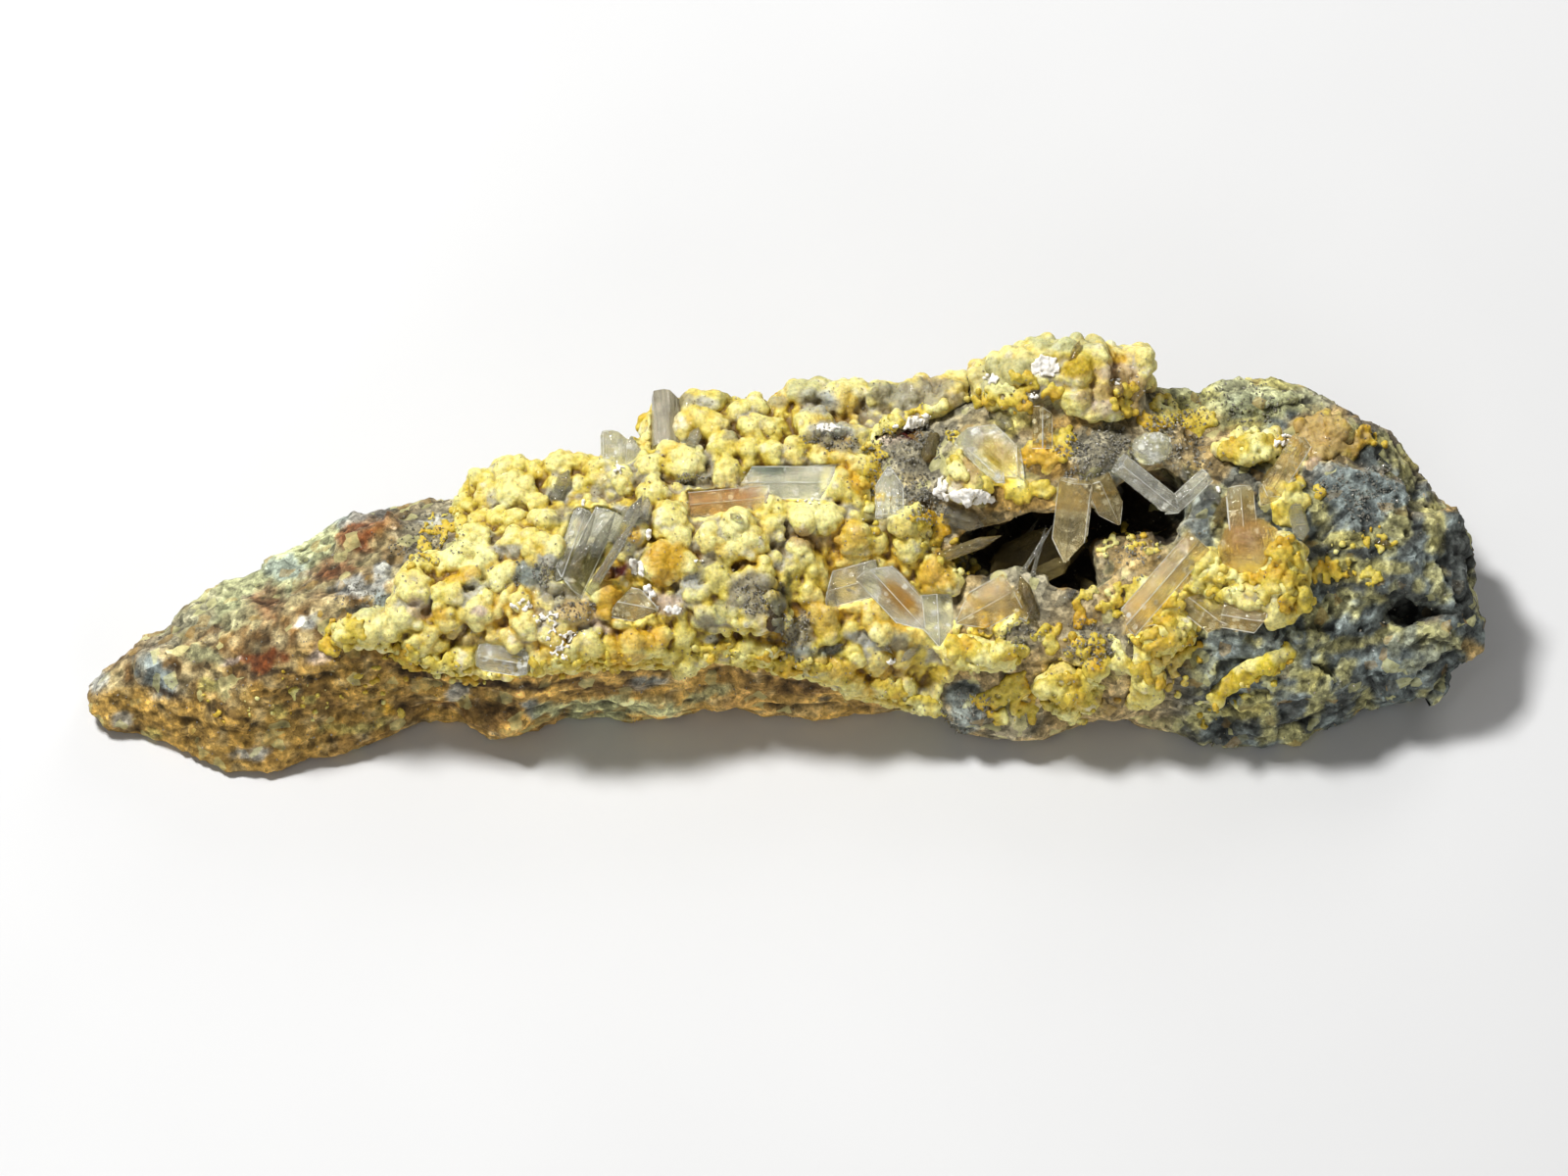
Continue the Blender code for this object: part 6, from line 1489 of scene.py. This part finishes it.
def small_prisms(tree, tan):
    """Small separate crystals, of one kind."""
    centres, axes, widths, lengths = [], [], [], []
    for foot, tip, width, is_tan in SMALL_PRISMS:
        if is_tan != tan:
            continue
        low, low_normal = seat(tree, *foot[:2])
        high, high_normal = seat(tree, *tip[:2])
        if low is None or high is None:
            continue
        start = low + (foot[2] - 0.5) * low_normal
        end = high + tip[2] * high_normal
        centres.append(start)
        axes.append(end - start)
        widths.append(width)
        lengths.append(np.linalg.norm(end - start) + 0.5)
    for foot, reach, width, is_tan in FREE_PRISMS:
        low, _ = seat(tree, *foot)
        if is_tan != tan or low is None:
            continue
        way = reach[0] * ALONG + reach[1] * UP_PLANE + reach[2] * OUT_OF_PLANE
        centres.append(low - 0.1 * way)
        axes.append(way)
        widths.append(width)
        lengths.append(1.1 * np.linalg.norm(way))
    spins = np.linspace(0.0, 1.0, len(widths))
    points, faces = turned(prism_template(), np.array(centres), np.array(axes), np.array(widths),
                           np.array(lengths), spins)
    name = "small_tan_prisms" if tan else "small_clear_prisms"
    obj = new_mesh(name, keep_inside(points, PIECE_ROOM), faces)
    source, values = ("tan_crystal", TAN_GLASS) if tan else ("clear_crystal", CLEAR_GLASS)
    obj.data.materials.append(crystal_material(source, *values))
    finish_piece(obj)


# ------------------------------------------------------------------ floor, light and camera

def make_floor():
    """A wide pale floor under the specimen."""
    corners = ((-1.0, -1.0, 0.0), (1.0, -1.0, 0.0), (1.0, 1.0, 0.0), (-1.0, 1.0, 0.0))
    points = FLOOR_HALF * np.array(corners)
    obj = new_mesh("floor", points, [(0, 1, 2, 3)])
    obj.data.materials.append(floor_material())
    obj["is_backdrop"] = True


def add_light(name, place, aim, size, power):
    """A soft light of some width and height, with places in metres."""
    light = bpy.data.lights.new(name, "AREA")
    light.shape = "RECTANGLE"
    light.size, light.size_y = size
    light.energy = power
    obj = bpy.data.objects.new(name, light)
    obj.location = place
    obj.rotation_euler = (Vector(aim) - Vector(place)).to_track_quat("-Z", "Y").to_euler()
    bpy.context.scene.collection.objects.link(obj)


def make_lights():
    """Soft studio light: a key from the upper left, weak fills, a rim from behind, a pale world."""
    aim = (0.0, 0.0, 0.015)
    add_light("key", KEY_PLACE, aim, (0.12, 0.12), 5.4)
    add_light("fill", (0.20, -0.62, 0.20), aim, (0.4, 0.4), 1.3)
    add_light("rim", (0.35, 0.55, 0.40), aim, (0.3, 0.3), 1.0)
    add_light("strip", (-0.26, -0.36, 0.78), aim, (0.05, 0.4), 0.25)
    world = bpy.data.worlds.new("studio")
    bpy.context.scene.world = world
    world.use_nodes = True
    nodes, links = world.node_tree.nodes, world.node_tree.links
    coordinates = nodes.new("ShaderNodeTexCoord")
    nearness = nodes.new("ShaderNodeVectorMath")
    nearness.operation = "DOT_PRODUCT"
    nearness.inputs[1].default_value = Vector(KEY_PLACE).normalized()
    links.new(coordinates.outputs["Generated"], nearness.inputs[0])
    glow = nodes.new("ShaderNodeMapRange")
    glow.inputs["From Min"].default_value = 0.2
    glow.inputs["From Max"].default_value = 0.95
    glow.inputs["To Min"].default_value = 0.07
    glow.inputs["To Max"].default_value = 0.26
    links.new(nearness.outputs["Value"], glow.inputs["Value"])
    background = nodes["Background"]
    background.inputs["Color"].default_value = (1.0, 0.99, 0.97, 1.0)
    links.new(glow.outputs["Result"], background.inputs["Strength"])


def make_camera():
    """The camera that looks square on to the display plane."""
    camera = bpy.data.cameras.new("camera")
    camera.sensor_width = 36.0
    camera.lens = LENS
    camera.clip_start = 0.05
    camera.clip_end = 20.0
    obj = bpy.data.objects.new("camera", camera)
    obj.location = plane_point(*CAMERA_AIM, CAMERA_REACH) * MM
    obj.rotation_euler = (-Vector(OUT_OF_PLANE)).to_track_quat("-Z", "Y").to_euler()
    bpy.context.scene.collection.objects.link(obj)
    bpy.context.scene.camera = obj


def write_sizes():
    boxes = {"cad": CAD_BOUNDS, "visual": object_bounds()}
    boxes = {name: [list(corner) for corner in box] for name, box in boxes.items()}


# Crusts: node, number of granules tried, round heads, and how far the fine skin is sunk.
CRUSTS = (
    ("sulfur_crust_main", 9000, MAIN_BALLS, 0.0), ("sulfur_crust_right", 1200, RIGHT_BALLS, 0.0),
    ("sulfur_cap", 1500, CAP_BALLS, 0.0), ("sulfur_patch_lower", 220, LOWER_BALLS, 0.0),
    ("sulfur_patch_upper", 120, (), 0.0), ("sulfur_knob_fringe", 140, ((19.6, 31.0, 1.8),), 0.0),
    ("sulfur_vein", 60, (), 1.15),
)


def main():
    """Build every piece, then the stage round them."""
    trees = crystal_trees()
    rock = make_rock(trees)
    plain_tree = tree_of(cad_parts["matrix_rock"])
    crusts = [make_crust(*row, plain_tree, trees) for row in CRUSTS]
    dress_crystals()
    crusts.append(crumbs(tree_of(rock, *crusts)))
    skin_tree = tree_of(rock, *crusts)
    flaws()
    edge_highlight_rods()
    druse(skin_tree)
    powder(skin_tree)
    grains(skin_tree)
    small_prisms(skin_tree, tan=False)
    small_prisms(skin_tree, tan=True)
    make_floor()
    make_lights()
    make_camera()
    bpy.context.scene.view_settings.view_transform = "Standard"
    bpy.context.scene.view_settings.look = "Medium High Contrast"
    bpy.context.scene.view_settings.exposure = -0.1


main()
write_sizes()
